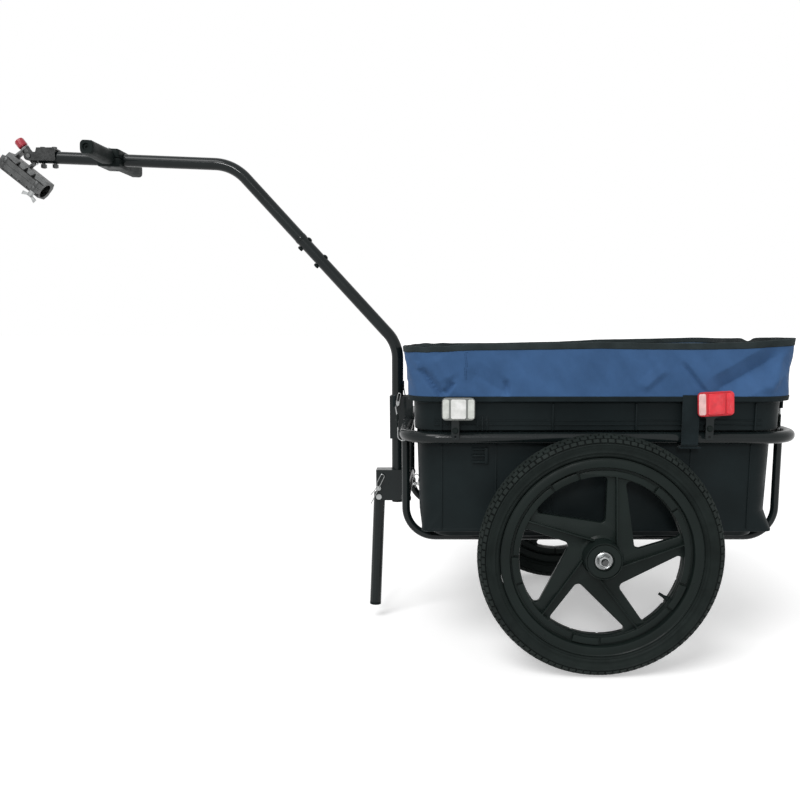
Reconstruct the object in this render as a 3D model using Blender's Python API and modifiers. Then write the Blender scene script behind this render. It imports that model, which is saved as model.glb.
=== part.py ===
"""Two-wheeled cargo trailer that a bicycle tows by its seat post.

Metres, +Z up. The drawbar points along -X, the trailer's left side is -Y, and the ground is z = 0.
Side-view positions are written from a datum line 263 mm ahead of the axle. The last step moves
everything so that the origin is at the bottom centre of the whole trailer.
"""
import math

import bmesh
import bpy
import numpy as np
from mathutils import Matrix, Vector

MM = 0.001
GAP = 0.3 * MM  # left between neighbours that touch

# Overall layout
DATUM_X = 0.1024  # the datum's x in the finished trailer
WHEEL_X, WHEEL_Z = 0.2631, 0.2025
WHEEL_SIDE = 0.290  # middle plane of each wheel, from the centre line

# Frame tubes
RING_Z, RING_FRONT, RING_REAR, RING_SIDE = 0.392, -0.0602, 0.5964, 0.245
RING_R, RING_BEND, RING_WALL = 10 * MM, 60 * MM, 1.3 * MM
U_FRONT, U_REAR, U_SIDE, U_BOTTOM = -0.0605, 0.5964, 0.150, 0.2025
U_R, U_BEND, U_WALL = 7 * MM, 52 * MM, 1.5 * MM
CROSS_Z, CROSS_R = 0.270, 7 * MM
AXLE_TUBE_R, AXLE_TUBE_BORE, AXLE_TUBE_END = 12.5 * MM, 10.3 * MM, 0.2445

# Drawbar, bent twice in the middle plane
BAR_R, BAR_WALL = 11 * MM, 1.6 * MM
BAR_TIP = Vector((-0.7390, 0, 0.8822))
BAR_HIGH_BEND = Vector((-0.3820, 0, 0.8685))
BAR_LOW_BEND = Vector((-0.0808, 0, 0.5399))
BAR_FOOT = Vector((-0.0828, 0, 0.2350))
BAR_HIGH_R, BAR_LOW_R = 80 * MM, 70 * MM
JOINT_X, JOINT_BOLTS_X, SPIGOT = -0.262, (-0.2515, -0.2225), 60 * MM
HANDLE_X, HANDLE_HALF = -0.603, 0.130

# Wheels
TYRE_R, TYRE_HALF, RIM_R = 0.2025, 23.5 * MM, 0.1655
HUB_R, HUB_HALF, BUSH_R, STUB_R = 30 * MM, 35 * MM, 8 * MM, 5 * MM
WINDOWS, WINDOW_IN, WINDOW_OUT, WINDOW_SPAN, WINDOW_AT, WINDOW_LEAN = 5, 0.0560, 0.1335, 62, 84.3, 2.8
WINDOW_CORNERS = (8 * MM, 6.5 * MM, 6.5 * MM)  # at the hub, then where the rim begins and ends
VALVE_AT = math.radians(-33)

# Tub, as rounded rectangles at each height: front x, rear x, half width, z, corner radius
TUB_FLOOR, TUB_LEDGE, TUB_RIM, TUB_WALL, TUB_CORNER = 0.2155, 0.4040, 0.4620, 3 * MM, 45 * MM
TUB_LEVELS = [
    (-0.0080, 0.5420, 0.2040, TUB_FLOOR, 30 * MM),
    (-0.0140, 0.5480, 0.2100, 0.2270, 30 * MM),
    (-0.0315, 0.5655, 0.2285, 0.2287, 12 * MM),  # a lip with squarer corners round the bottom
    (-0.0315, 0.5655, 0.2285, 0.2333, 12 * MM),
    (-0.0360, 0.5612, 0.2288, 0.2620, TUB_CORNER),
    (-0.0400, 0.5655, 0.2315, TUB_LEDGE, TUB_CORNER),  # the ledge over the ring, and the collar above it
    (-0.0425, 0.5705, 0.2455, TUB_LEDGE + 0.2 * MM, TUB_CORNER),
    (-0.0440, 0.5725, 0.2475, TUB_RIM - 12 * MM, TUB_CORNER),
    (-0.0490, 0.5780, 0.2530, TUB_RIM - 10 * MM, TUB_CORNER),
    (-0.0490, 0.5780, 0.2530, TUB_RIM, TUB_CORNER)]

# Fabric cover standing round the tub's rim
COVER_LOW, COVER_HIGH, COVER_TOP, HEM = 0.4530, 0.5380, 0.5485, 8.5 * MM
COVER_FRONT, COVER_REAR, COVER_HALF, COVER_CORNER = -0.0530, 0.5830, 0.2590, 48 * MM
COVER_FRONT_FLARE, COVER_HALF_FLARE, COVER_BELLY = 8.5 * MM, 10 * MM, 1.5 * MM
COVER_SPACING = 0.058

# Leg
LEG_PIVOT, LEG_TIP, LEG_R = Vector((-0.1180, 0, 0.2471)), Vector((-0.1282, 0, 0.0280)), 11 * MM
LOCK_PIN = Vector((-0.1185, 0, 0.2636))
PLATE_IN, PLATE_OUT = 13.5 * MM, 16 * MM

# Hitch: pitch axis through PITCH along Y, yaw axis through it along YAW
PITCH = Vector((-0.7535, 0, 0.8822))
YAW = Vector((-0.6, 0, 0.8))
CLAMP = Vector((-0.7670, 0, 0.8480))
CLAMP_ALONG = Vector((0.7795, 0, -0.6264)).normalized()
CLAMP_LONG, CLAMP_HALF, CLAMP_BODY, CLAMP_JAW, CLAMP_BORE = 87 * MM, 26 * MM, 18 * MM, 16 * MM, 13.6 * MM
SCREW_AT, SCREW_SIDE = 34 * MM, -20.5 * MM

# Pins, and the holes that they pass through
PIN_R, PIVOT_R = 3 * MM, 4 * MM
PIN_HOLE, PIVOT_HOLE = PIN_R + GAP, PIVOT_R + GAP
CLIP_WIRE_R = 0.9 * MM

# Straps, reflector brackets, reflectors and latches on the tub's sides
RING_UNDER = RING_Z - RING_R - 2 * MM  # where straps and latches pass under the ring
STRAP_OUT, STRAP_END, STRAP_TOP, STRAP_FRONT, STRAP_REAR = 0.2630, 0.2440, 0.4640, 0.3950, 0.4230
STEM_HALF, STEM_LOW, STEM_HIGH, SHELF_HALF, SHELF_LOW, SHELF_HIGH = 6.5 * MM, 0.3900, 0.4260, 20 * MM, 0.4330, 0.4570
SHELF_IN, SHELF_OUT, POST_IN, POST_Z, POST_R = 0.2640, 0.2658, 0.2462, 0.4100, 5 * MM
REFLECTOR_IN, REFLECTOR_OUT = 0.2661, 0.2740
FRONT_STEM_X, FRONT_REFLECTOR = 0.0250, (0.0300, 0.4235, 54 * MM, 37 * MM, 0)  # middle, underside, size, lean
REAR_STEM_X, REAR_REFLECTOR = 0.4400, (0.4470, 0.4305, 59 * MM, 40 * MM, 3)
LATCH_SIDE, LATCH_WIRE_R, LATCH_BEND_Z, LATCH_LOW, LATCH_HIGH = 0.182, 1.7 * MM, 0.415, 0.404, 0.424

# Brackets that hold the drawbar
PLATE_FRONT, PLATE_LOW, PLATE_TOP, PLATE_THICK = -0.1232, 0.2398, 0.2994, 2.5 * MM
UPPER_PIN_Z, UPPER_LOW, UPPER_HIGH, UPPER_REAR = 0.428, 0.3600, 0.4420, -0.0520

# Coupling: bracket on the drawbar's tip, knuckle and release pin
COUPLING_BOLTS_X = (-0.7320, -0.7105)
CHEEK_IN, CHEEK_OUT, CHEEK_TOP = 11.4 * MM, 13.9 * MM, 0.8970
KNUCKLE_R, KNUCKLE_HALF, BARREL_R, BARREL_LOW, BARREL_HIGH = 8 * MM, 10.9 * MM, 7.5 * MM, -10.2 * MM, 15.2 * MM
EAR_LOW, EAR_HIGH = (-13.5 * MM, -10.5 * MM), (15.5 * MM, 18.5 * MM)  # the clamp's ears, along the yaw axis
HINGE_SIDE, HINGE_R, HINGE_PIN_R, HINGE_MIDDLE, HINGE_END = 29.5 * MM, 4.2 * MM, 2 * MM, 14 * MM, 29.5 * MM
FLANGE, SCREW_R = 9 * MM, 2.8 * MM

for old in list(bpy.data.objects):
    bpy.data.objects.remove(old, do_unlink=True)
PARTS = bpy.data.collections.new("bicycle_trailer")
CUTTERS = bpy.data.collections.new("trailer_cutters")
for group in (PARTS, CUTTERS):
    bpy.context.scene.collection.children.link(group)
CUTTERS.hide_render = True


def material(name, colour, roughness, metallic=0.0):
    made = bpy.data.materials.new(name)
    made.use_nodes = True
    shader = made.node_tree.nodes["Principled BSDF"]
    shader.inputs["Base Color"].default_value = (*colour, 1)
    shader.inputs["Roughness"].default_value = roughness
    shader.inputs["Metallic"].default_value = metallic
    made.diffuse_color = (*colour, 1)
    return made


BLACK_PAINT = material("black_paint", (0.020, 0.022, 0.022), 0.32)
BLACK_PLASTIC = material("black_plastic", (0.018, 0.020, 0.021), 0.55)
WHEEL_PLASTIC = material("wheel_plastic", (0.016, 0.018, 0.018), 0.45)
RUBBER = material("rubber", (0.017, 0.018, 0.017), 0.75)
BLUE_FABRIC = material("blue_fabric", (0.055, 0.120, 0.280), 0.80)
BLACK_FABRIC = material("black_fabric", (0.030, 0.034, 0.037), 0.85)
ZINC = material("zinc_steel", (0.55, 0.56, 0.56), 0.35, 1.0)
CAST_ALUMINIUM = material("cast_aluminium", (0.30, 0.32, 0.33), 0.50, 1.0)
CLEAR_REFLECTOR = material("clear_reflector", (0.70, 0.71, 0.68), 0.15)
RED_REFLECTOR = material("red_reflector", (0.62, 0.015, 0.020), 0.15)
RED_PLASTIC = material("red_plastic", (0.50, 0.020, 0.030), 0.40)


def frame_at(origin, x_axis, y_axis, z_axis):
    """A placement whose local axes are the three given directions."""
    turn = Matrix((x_axis, y_axis, z_axis)).transposed()
    return Matrix.Translation(origin) @ turn.to_4x4()


ALONG_X, ALONG_Y, ALONG_Z = Vector((1, 0, 0)), Vector((0, 1, 0)), Vector((0, 0, 1))
SIDE_VIEW = frame_at((0, 0, 0), ALONG_X, ALONG_Z, -ALONG_Y)  # a drawing in X and Z, thick in Y
END_VIEW = frame_at((0, 0, 0), ALONG_Y, ALONG_Z, ALONG_X)  # a drawing in Y and Z, thick in X
PIN_FRAME = frame_at(PITCH, ALONG_Y, YAW.cross(ALONG_Y), YAW)  # the clamp lies towards +y, the knob +z
CLAMP_FRAME = frame_at(CLAMP, CLAMP_ALONG, ALONG_Y, CLAMP_ALONG.cross(ALONG_Y))


def block(low, high, frame=Matrix()):
    low, high = Vector(low), Vector(high)
    bm = bmesh.new()
    size = high - low
    where = Matrix.Translation((low + high) / 2) @ Matrix.Diagonal((*size, 1))
    bmesh.ops.create_cube(bm, size=1, matrix=frame @ where)
    return bm


def rod(start, end, radius, sides=16, frame=Matrix()):
    """A round bar between two points."""
    start, end = frame @ Vector(start), frame @ Vector(end)
    run = end - start
    where = Matrix.Translation((start + end) / 2) @ run.to_track_quat("Z", "Y").to_matrix().to_4x4()
    bm = bmesh.new()
    bmesh.ops.create_cone(bm, cap_ends=True, segments=sides, radius1=radius, matrix=where,
                          radius2=radius, depth=run.length)
    return bm


def joined(*pieces):
    """Separate closed shapes as one mesh."""
    whole = bmesh.new()
    for piece in pieces:
        held = bpy.data.meshes.new("held")
        piece.to_mesh(held)
        whole.from_mesh(held)
        bpy.data.meshes.remove(held)
    return whole


def face_out(bm):
    """Every face of a closed shape turned outwards."""
    bmesh.ops.recalc_face_normals(bm, faces=bm.faces)
    if bm.calc_volume(signed=True) < 0:
        bmesh.ops.reverse_faces(bm, faces=bm.faces)
    return bm


def read_back(holder):
    """The evaluated mesh of a helper object, which is then removed."""
    bpy.context.scene.collection.objects.link(holder)
    graph = bpy.context.evaluated_depsgraph_get()
    mesh = bpy.data.meshes.new_from_object(holder.evaluated_get(graph))
    bpy.data.objects.remove(holder)
    bm = bmesh.new()
    bm.from_mesh(mesh)
    bpy.data.meshes.remove(mesh)
    bmesh.ops.remove_doubles(bm, verts=bm.verts, dist=2e-6)
    return bm


def outline(points, thick_low, thick_high, frame=SIDE_VIEW):
    """A flat outline given thickness along the frame's third axis."""
    curve = bpy.data.curves.new("outline", "CURVE")
    curve.dimensions, curve.fill_mode = "2D", "BOTH"
    curve.extrude = (thick_high - thick_low) / 2
    spline = curve.splines.new("POLY")
    spline.points.add(len(points) - 1)
    for held, (x, y) in zip(spline.points, points):
        held.co = (x, y, 0, 1)
    spline.use_cyclic_u = True
    bm = read_back(bpy.data.objects.new("outline", curve))
    bm.transform(frame @ Matrix.Translation((0, 0, (thick_low + thick_high) / 2)))
    return face_out(bm)


def bend(points, radius, steps=6, closed=False):
    """A path with its corners replaced by arcs. A radius per corner may be given."""
    corners, path = [Vector(p) for p in points], []
    for i, corner in enumerate(corners):
        if not closed and i in (0, len(corners) - 1):
            path.append(corner)
            continue
        r = radius[i] if isinstance(radius, (list, tuple)) else radius
        back = (corners[i - 1] - corner).normalized()
        on = (corners[(i + 1) % len(corners)] - corner).normalized()
        half = back.angle(on) / 2
        centre = corner + (back + on).normalized() * (r / math.sin(half))
        first = corner + back * (r / math.tan(half)) - centre
        last = corner + on * (r / math.tan(half)) - centre
        axis = first.cross(last).normalized()
        for k in range(steps + 1):
            turn = Matrix.Rotation((math.pi - 2 * half) * k / steps, 3, axis)
            path.append(centre + turn @ first)
    return path


def flat(points):
    return [(p[0], p[1]) for p in points]


def rounded_box(half_x, half_y, radius, steps=4, centre=(0, 0)):
    """A rounded rectangle as a list of points, counterclockwise."""
    x, y = centre
    corners = [(x - half_x, y - half_y, 0), (x + half_x, y - half_y, 0),
               (x + half_x, y + half_y, 0), (x - half_x, y + half_y, 0)]
    return flat(bend(corners, radius, steps, closed=True))


def pipe(path, radius, smoothness=6, closed=False, caps=True):
    """A round tube or wire along a path. Without caps it is an open skin for a wall."""
    curve = bpy.data.curves.new("path", "CURVE")
    curve.dimensions, curve.bevel_depth = "3D", radius
    curve.bevel_resolution, curve.use_fill_caps = smoothness, caps and not closed
    spline = curve.splines.new("POLY")
    spline.points.add(len(path) - 1)
    for held, p in zip(spline.points, path):
        held.co = (*p, 1)
    spline.use_cyclic_u = closed
    bm = read_back(bpy.data.objects.new("path", curve))
    return face_out(bm) if caps or closed else bm


def turned(profile, steps=32, frame=Matrix()):
    """A closed profile of (radius, height) points turned about the frame's third axis."""
    mesh = bpy.data.meshes.new("profile")
    count = len(profile)
    mesh.from_pydata([(r, 0, z) for r, z in profile], [(i, (i + 1) % count) for i in range(count)], [])
    holder = bpy.data.objects.new("profile", mesh)
    screw = holder.modifiers.new("turn", "SCREW")
    screw.steps = screw.render_steps = steps
    screw.use_merge_vertices, screw.merge_threshold = True, 1e-5
    bm = read_back(holder)
    bm.transform(frame)
    return face_out(bm)


def mesh_object(name, bm, collection, origin):
    bm.transform(Matrix.Translation(-Vector(origin)))
    mesh = bpy.data.meshes.new(name)
    bm.to_mesh(mesh)
    bm.free()
    obj = bpy.data.objects.new(name, mesh)
    obj.location = origin
    collection.objects.link(obj)
    return obj


def part(name, base, look, add=(), cut=(), origin=(0, 0, 0), wall=0.0, soften=0.0, solver="EXACT"):
    """One sub-part: a base shape, a wall if it is a skin, then what joins it and what is cut away."""
    obj = mesh_object(name, base, PARTS, origin)
    obj.data.materials.append(look)
    if wall:
        skin = obj.modifiers.new("wall", "SOLIDIFY")
        skin.thickness, skin.offset = wall, -1
    for operation, shapes in (("UNION", add), ("DIFFERENCE", cut)):
        for number, shape in enumerate(shapes):
            tool = mesh_object(f"{name}_{operation.lower()}_{number}", shape, CUTTERS, origin)
            tool.hide_render, tool.display_type = True, "WIRE"
            tool.parent = obj
            tool.location = (0, 0, 0)
            boolean = obj.modifiers.new(f"{operation.lower()}_{number}", "BOOLEAN")
            boolean.operation, boolean.object, boolean.solver = operation, tool, solver
    if soften:
        edge = obj.modifiers.new("edges", "BEVEL")
        edge.width, edge.segments, edge.limit_method = soften, 1, "ANGLE"
        edge.angle_limit = math.radians(50)
    obj.data.shade_smooth()
    obj.data.set_sharp_from_angle(angle=math.radians(35))
    return obj


def both_sides(make):
    """Calls make for the left side, at -Y, and for the right side, at +Y."""
    for word, sign in (("left", -1), ("right", 1)):
        make(word, sign)


def span(sign, near, far):
    """Two distances from the centre line as ordered y values on one side."""
    return sorted((sign * near, sign * far))


# Frame: a ring round the tub, two U-shaped tubes under it and two cross tubes
ring_path = bend([(RING_FRONT, -RING_SIDE, RING_Z), (RING_REAR, -RING_SIDE, RING_Z),
                  (RING_REAR, RING_SIDE, RING_Z), (RING_FRONT, RING_SIDE, RING_Z)],
                 RING_BEND, 4, closed=True)
part("frame_ring_tube", pipe(ring_path, RING_R, 5, closed=True), BLACK_PAINT, cut=[
    pipe(ring_path, RING_R - RING_WALL, 2, closed=True),
    rod((RING_REAR, 0, RING_Z - 2 * RING_R), (RING_REAR, 0, RING_Z), 3 * MM, 10)])


def u_path(sign):
    y = sign * U_SIDE
    return bend([(U_FRONT, y, RING_Z), (U_FRONT, y, U_BOTTOM), (U_REAR, y, U_BOTTOM), (U_REAR, y, RING_Z)],
                U_BEND, 4)


def make_u_tube(word, sign):
    y = sign * U_SIDE
    part(f"frame_u_tube_{word}", pipe(u_path(sign), U_R, 3, caps=False), BLACK_PAINT, wall=U_WALL, cut=[
        rod((x, y - 0.02, RING_Z), (x, y + 0.02, RING_Z), RING_R + GAP, 18) for x in (RING_FRONT, RING_REAR)])


both_sides(make_u_tube)
cross_half = U_SIDE - 1 * MM
part("frame_front_cross_tube",
     pipe([(U_FRONT, -cross_half, CROSS_Z), (U_FRONT, cross_half, CROSS_Z)], CROSS_R, 3, caps=False),
     BLACK_PAINT, wall=U_WALL, cut=[
         rod((U_FRONT, -U_SIDE, CROSS_Z - 0.02), (U_FRONT, -U_SIDE, CROSS_Z + 0.02), U_R + 0.8 * MM, 14),
         rod((U_FRONT, U_SIDE, CROSS_Z - 0.02), (U_FRONT, U_SIDE, CROSS_Z + 0.02), U_R + 0.8 * MM, 14),
         rod((U_FRONT - 0.02, 0, CROSS_Z), (U_FRONT + 0.02, 0, CROSS_Z), 3.4 * MM, 10)])
part("frame_axle_tube",
     pipe([(WHEEL_X, -AXLE_TUBE_END, WHEEL_Z), (WHEEL_X, AXLE_TUBE_END, WHEEL_Z)], AXLE_TUBE_R, 5, caps=False),
     BLACK_PAINT, wall=AXLE_TUBE_R - AXLE_TUBE_BORE, cut=[
         rod((WHEEL_X - 0.03, sign * U_SIDE, U_BOTTOM), (WHEEL_X + 0.03, sign * U_SIDE, U_BOTTOM),
             U_R + GAP, 14) for sign in (-1, 1)])


# Wheels: a stub axle and nut on the frame, and a spoked plastic wheel that turns on a bush
def wheel_frame(sign):
    """Local z points outwards along the axle. Both wheels are the same piece turned round."""
    out = ALONG_Y * sign
    across = -ALONG_X * sign
    return frame_at((WHEEL_X, sign * WHEEL_SIDE, WHEEL_Z), across, ALONG_Z, across.cross(ALONG_Z))


tyre_half_profile = [(0.1556, 13.4 * MM), (0.1668, 13.9 * MM), (0.1755, 22.2 * MM), (0.1880, TYRE_HALF),
                     (0.2000, 13.5 * MM)]
tyre_inner_profile = [(0.1955, 9.0 * MM), (0.1830, 18.0 * MM), (0.1556, 9.4 * MM)]
rim_half_profile = [(0.1380, 15.5 * MM), (0.1450, 11.5 * MM), (0.1510, 18.5 * MM),
                    (RIM_R, 18.5 * MM), (RIM_R, 14.9 * MM), (0.1553, 14.4 * MM)]


def mirrored(half, tip=()):
    """The profile's other half added, with the points on the middle plane between."""
    return half + list(tip) + [(r, -z) for r, z in reversed(half)]


def window_outline(number):
    """A rounded triangle between two spokes, as seen from outside the wheel."""
    first = math.radians(WINDOW_AT + 360 / WINDOWS * number)
    rim_angles = np.linspace(first + math.radians(WINDOW_LEAN), first + math.radians(WINDOW_SPAN), 5)
    corners = [WINDOW_IN * Vector((math.cos(first), math.sin(first), 0))]
    corners += [WINDOW_OUT * Vector((math.cos(a), math.sin(a), 0)) for a in rim_angles]
    at_hub, at_start, at_end = WINDOW_CORNERS
    path = []
    for i, (corner, radius) in enumerate(zip(corners, (at_hub, at_start, 0, 0, 0, at_end))):
        before, after = corners[i - 1], corners[(i + 1) % len(corners)]
        path += bend([before, corner, after], [0, radius, 0], 2)[1:-1] if radius else [corner]
    return flat(path)


def rib(number, z_low, z_high):
    """The narrow raised line along a spoke's face."""
    turn = Matrix.Rotation(math.radians(360 / WINDOWS * number), 4, "Z")
    start, end = Vector((0.0215, 0.0225, 0)), Vector((0.0200, 0.1385, 0))
    along = (end - start).normalized()
    side = Vector((-along.y, along.x, 0)) * 1.6 * MM
    corners = [start - side, end - side, end + side, start + side]
    return [flat([turn @ c for c in corners]), z_low, z_high]


def make_wheel(word, sign):
    frame = wheel_frame(sign)
    centre = frame.translation
    part(f"tyre_{word}",
         turned(mirrored(tyre_half_profile, [(TYRE_R, 0)])[::-1] + mirrored(tyre_inner_profile[::-1]), 32, frame),
         RUBBER, origin=centre)
    hub = rod((0, 0, -HUB_HALF), (0, 0, HUB_HALF), HUB_R, 24, frame=frame)
    disc = turned([(0.020, 5 * MM), (0.1395, 5.5 * MM), (0.1395, -5.5 * MM), (0.020, -5 * MM)], 26, frame)
    windows = joined(*[outline(window_outline(k), -20 * MM, 20 * MM, frame) for k in range(WINDOWS)])
    ribs = [outline(points, low, high, frame)
            for points, low, high in (rib(k, 3 * MM, 9 * MM) for k in range(WINDOWS))]
    valve_line = Vector((math.cos(VALVE_AT), math.sin(VALVE_AT), 0))
    valve_way = rod(valve_line * 0.130, valve_line * 0.162, 4.5 * MM, 12, frame=frame)
    part(f"wheel_{word}", turned(mirrored(rim_half_profile), 32, frame), WHEEL_PLASTIC, origin=centre,
         solver="MANIFOLD", add=[disc, hub, joined(*ribs)],
         cut=[windows, rod((0, 0, -0.05), (0, 0, 0.05), BUSH_R + GAP, 16, frame=frame),
              rod((0, 0, 30 * MM), (0, 0, 0.05), 18 * MM, 20, frame=frame), valve_way])
    part(f"wheel_bush_{word}", rod((0, 0, -HUB_HALF), (0, 0, 29 * MM), BUSH_R, 16, frame=frame), ZINC,
         origin=centre, cut=[rod((0, 0, -0.05), (0, 0, 0.05), STUB_R + GAP, 12, frame=frame)])
    tube_ring = [frame @ Vector((0.1795 * math.cos(a), 0.1795 * math.sin(a), 0))
                 for a in np.linspace(0, 2 * math.pi, 18, endpoint=False)]
    part(f"inner_tube_{word}", pipe(tube_ring, 14.5 * MM, 1, closed=True), RUBBER, origin=centre,
         add=[rod(valve_line * 0.1690, valve_line * 0.1200, 3.2 * MM, 12, frame=frame)],
         cut=[pipe(tube_ring, 13.2 * MM, 1, closed=True),
              rod(valve_line * 0.1750, valve_line * 0.1190, 1.4 * MM, 8, frame=frame)])
    inside = AXLE_TUBE_BORE - GAP
    start = sign * 0.190
    part(f"axle_stub_{word}", rod((WHEEL_X, start, WHEEL_Z), (WHEEL_X, sign * AXLE_TUBE_END, WHEEL_Z),
                                  inside, 14), ZINC,
         add=[rod((WHEEL_X, sign * 0.24, WHEEL_Z), (WHEEL_X, sign * 0.3345, WHEEL_Z), STUB_R, 12),
              rod((WHEEL_X, sign * (AXLE_TUBE_END + GAP), WHEEL_Z), (WHEEL_X, sign * 0.2545, WHEEL_Z),
                  STUB_R + 4 * MM, 14)])
    face = WHEEL_SIDE + 30 * MM
    part(f"axle_nut_{word}", rod((WHEEL_X, sign * (face + 0.5 * MM), WHEEL_Z),
                                 (WHEEL_X, sign * (face + 2.5 * MM), WHEEL_Z), 14.5 * MM, 20), ZINC,
         add=[rod((WHEEL_X, sign * (face + 2 * MM), WHEEL_Z), (WHEEL_X, sign * (face + 10.5 * MM), WHEEL_Z),
                  9.6 * MM, 6)],
         cut=[rod((WHEEL_X, sign * face, WHEEL_Z), (WHEEL_X, sign * (face + 20 * MM), WHEEL_Z),
                  STUB_R + GAP, 12)])


both_sides(make_wheel)


# Tub: rounded rectangles lofted upwards into an open skin, thickened inwards
def loft(levels, floor):
    """A skin through rounded rectangles: front x, rear x, half width, height, corner radius."""
    bm = bmesh.new()
    rings = []
    for front, rear, half, z, radius in levels:
        points = rounded_box((rear - front) / 2, half, radius, 4, ((front + rear) / 2, 0))
        rings.append([bm.verts.new((x, y, z)) for x, y in points])
    for low, high in zip(rings, rings[1:]):
        for i in range(len(low)):
            j = (i + 1) % len(low)
            bm.faces.new((low[i], low[j], high[j], high[i]))
    if floor:
        bm.faces.new(list(reversed(rings[0])))
    return bm


tub = part("cargo_tub", loft(TUB_LEVELS, floor=True), BLACK_PLASTIC, wall=TUB_WALL)
tub.modifiers["wall"].use_even_offset = True


# Cover: one long wall of cloth with shallow folds, a bound top hem and an elastic bottom hem
def cover_ring(share):
    """Points round the cover at a share of its height, with folds that fade towards the bottom."""
    front = COVER_FRONT - COVER_FRONT_FLARE * share
    half = COVER_HALF + COVER_HALF_FLARE * share + COVER_BELLY * math.sin(math.pi * share)
    base = rounded_box((COVER_REAR - front) / 2, half, COVER_CORNER, 4, ((front + COVER_REAR) / 2, 0))
    points = []
    for start, end in zip(base, base[1:] + base[:1]):
        between = max(1, round(math.dist(start, end) / COVER_SPACING))
        points += [np.add(start, np.subtract(end, start) * k / between) for k in range(between)]
    return np.array(points), np.array([(front + COVER_REAR) / 2, 0])


def cover_skin(z_low, z_high, levels, push=0.0):
    """The cover's outer face between two heights, moved outwards by push."""
    bm, rings = bmesh.new(), []
    for z in np.linspace(z_low, z_high, levels):
        share = (z - COVER_LOW) / (COVER_TOP - COVER_LOW)
        points, centre = cover_ring(share)
        outward = points - centre
        bearing = np.arctan2(outward[:, 1], outward[:, 0])
        outward /= np.linalg.norm(outward, axis=1)[:, None]
        fold = 0.0016 * share * (np.sin(11 * bearing + 0.6) + 0.7 * np.sin(23 * bearing + 2.0 + 1.5 * share))
        rise = 0.0016 * share * np.sin(9 * bearing + 1.0)
        spots = points + outward * (push + fold)[:, None]
        rings.append([bm.verts.new((x, y, z + r)) for (x, y), r in zip(spots, rise)])
    for low, high in zip(rings, rings[1:]):
        for i in range(len(low)):
            j = (i + 1) % len(low)
            bm.faces.new((low[i], low[j], high[j], high[i]))
    return bm


part("cover_bottom_hem", cover_skin(COVER_LOW, COVER_LOW + HEM, 2), BLACK_FABRIC, wall=3.2 * MM)
part("cover_wall", cover_skin(COVER_LOW + HEM + GAP, COVER_HIGH, 4, -0.4 * MM), BLUE_FABRIC, wall=2.2 * MM)
part("cover_top_hem", cover_skin(COVER_HIGH + 2 * GAP, COVER_TOP, 2, 0.3 * MM), BLACK_FABRIC, wall=3.6 * MM)


# Straps that hook the cover to the ring, latches at the corners, and reflectors on brackets
def make_strap(word, sign):
    thick = 1.8 * MM
    strap = [(STRAP_OUT, STRAP_TOP), (STRAP_OUT, RING_UNDER + 5.5 * MM), (STRAP_OUT - 6 * MM, RING_UNDER - 2 * MM),
             (STRAP_END, RING_UNDER - 2 * MM), (STRAP_END, RING_UNDER), (STRAP_OUT - 7 * MM, RING_UNDER),
             (STRAP_OUT - thick, RING_UNDER + 6.3 * MM), (STRAP_OUT - thick, STRAP_TOP)]
    part(f"cover_strap_{word}", outline([(sign * y, z) for y, z in strap], STRAP_FRONT, STRAP_REAR, END_VIEW),
         BLACK_FABRIC)


def make_bracket(name, stem, x, sign):
    """A plate with a stem and a wider shelf above it, on a post from the tub's collar, with its nut."""
    low, high = span(sign, SHELF_IN, SHELF_OUT)
    plate = outline([(stem - STEM_HALF, STEM_LOW), (stem + STEM_HALF, STEM_LOW), (stem + STEM_HALF, STEM_HIGH),
                     (x + SHELF_HALF, SHELF_LOW), (x + SHELF_HALF, SHELF_HIGH), (x - SHELF_HALF, SHELF_HIGH),
                     (x - SHELF_HALF, SHELF_LOW), (stem - STEM_HALF, STEM_HIGH)], -high, -low)
    part(name, plate, BLACK_PAINT, add=[
        rod((stem, sign * POST_IN, POST_Z), (stem, sign * (SHELF_OUT - 0.8 * MM), POST_Z), POST_R, 16),
        rod((stem, sign * SHELF_IN, POST_Z), (stem, sign * (SHELF_IN + 5 * MM), POST_Z), 4.5 * MM, 6)])


def make_reflector(name, place, look, sign):
    x, z_low, width, tall, lean = place
    tilt = Matrix.Translation((x, 0, z_low + tall / 2)) @ Matrix.Rotation(math.radians(-lean), 4, "Y")
    low, high = span(sign, REFLECTOR_IN, REFLECTOR_OUT)
    part(name, block((-width / 2, low, -tall / 2), (width / 2, high, tall / 2), tilt), look, soften=2 * MM)


def make_latch(name, hook, drift, top, sign):
    """A wire loop that hooks under the ring, with a plate where it is fastened to the cover."""
    x_at, y = hook - (RING_R + 2 * MM), sign * LATCH_SIDE
    low = RING_UNDER - 0.1 * MM
    loop = bend([(hook, y, low), (x_at, y, low), (x_at, y, LATCH_BEND_Z), (x_at - drift, y, top)],
                [0, 8 * MM, 6 * MM, 0], 3)
    part(name, pipe(loop, LATCH_WIRE_R, 1), ZINC, add=[
        block((x_at - 2.5 * MM, y - 6 * MM, LATCH_LOW), (x_at + 0.5 * MM, y + 6 * MM, LATCH_HIGH))])


def make_side_fittings(word, sign):
    make_strap(word, sign)
    make_bracket(f"front_reflector_bracket_{word}", FRONT_STEM_X, FRONT_REFLECTOR[0], sign)
    make_reflector(f"front_reflector_{word}", FRONT_REFLECTOR, CLEAR_REFLECTOR, sign)
    make_bracket(f"rear_reflector_bracket_{word}", REAR_STEM_X, REAR_REFLECTOR[0], sign)
    make_reflector(f"rear_reflector_{word}", REAR_REFLECTOR, RED_REFLECTOR, sign)
    make_latch(f"corner_latch_front_{word}", RING_FRONT, 6 * MM, 0.4500, sign)
    make_latch(f"corner_latch_rear_{word}", RING_REAR, MM, 0.4480, sign)


both_sides(make_side_fittings)

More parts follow.
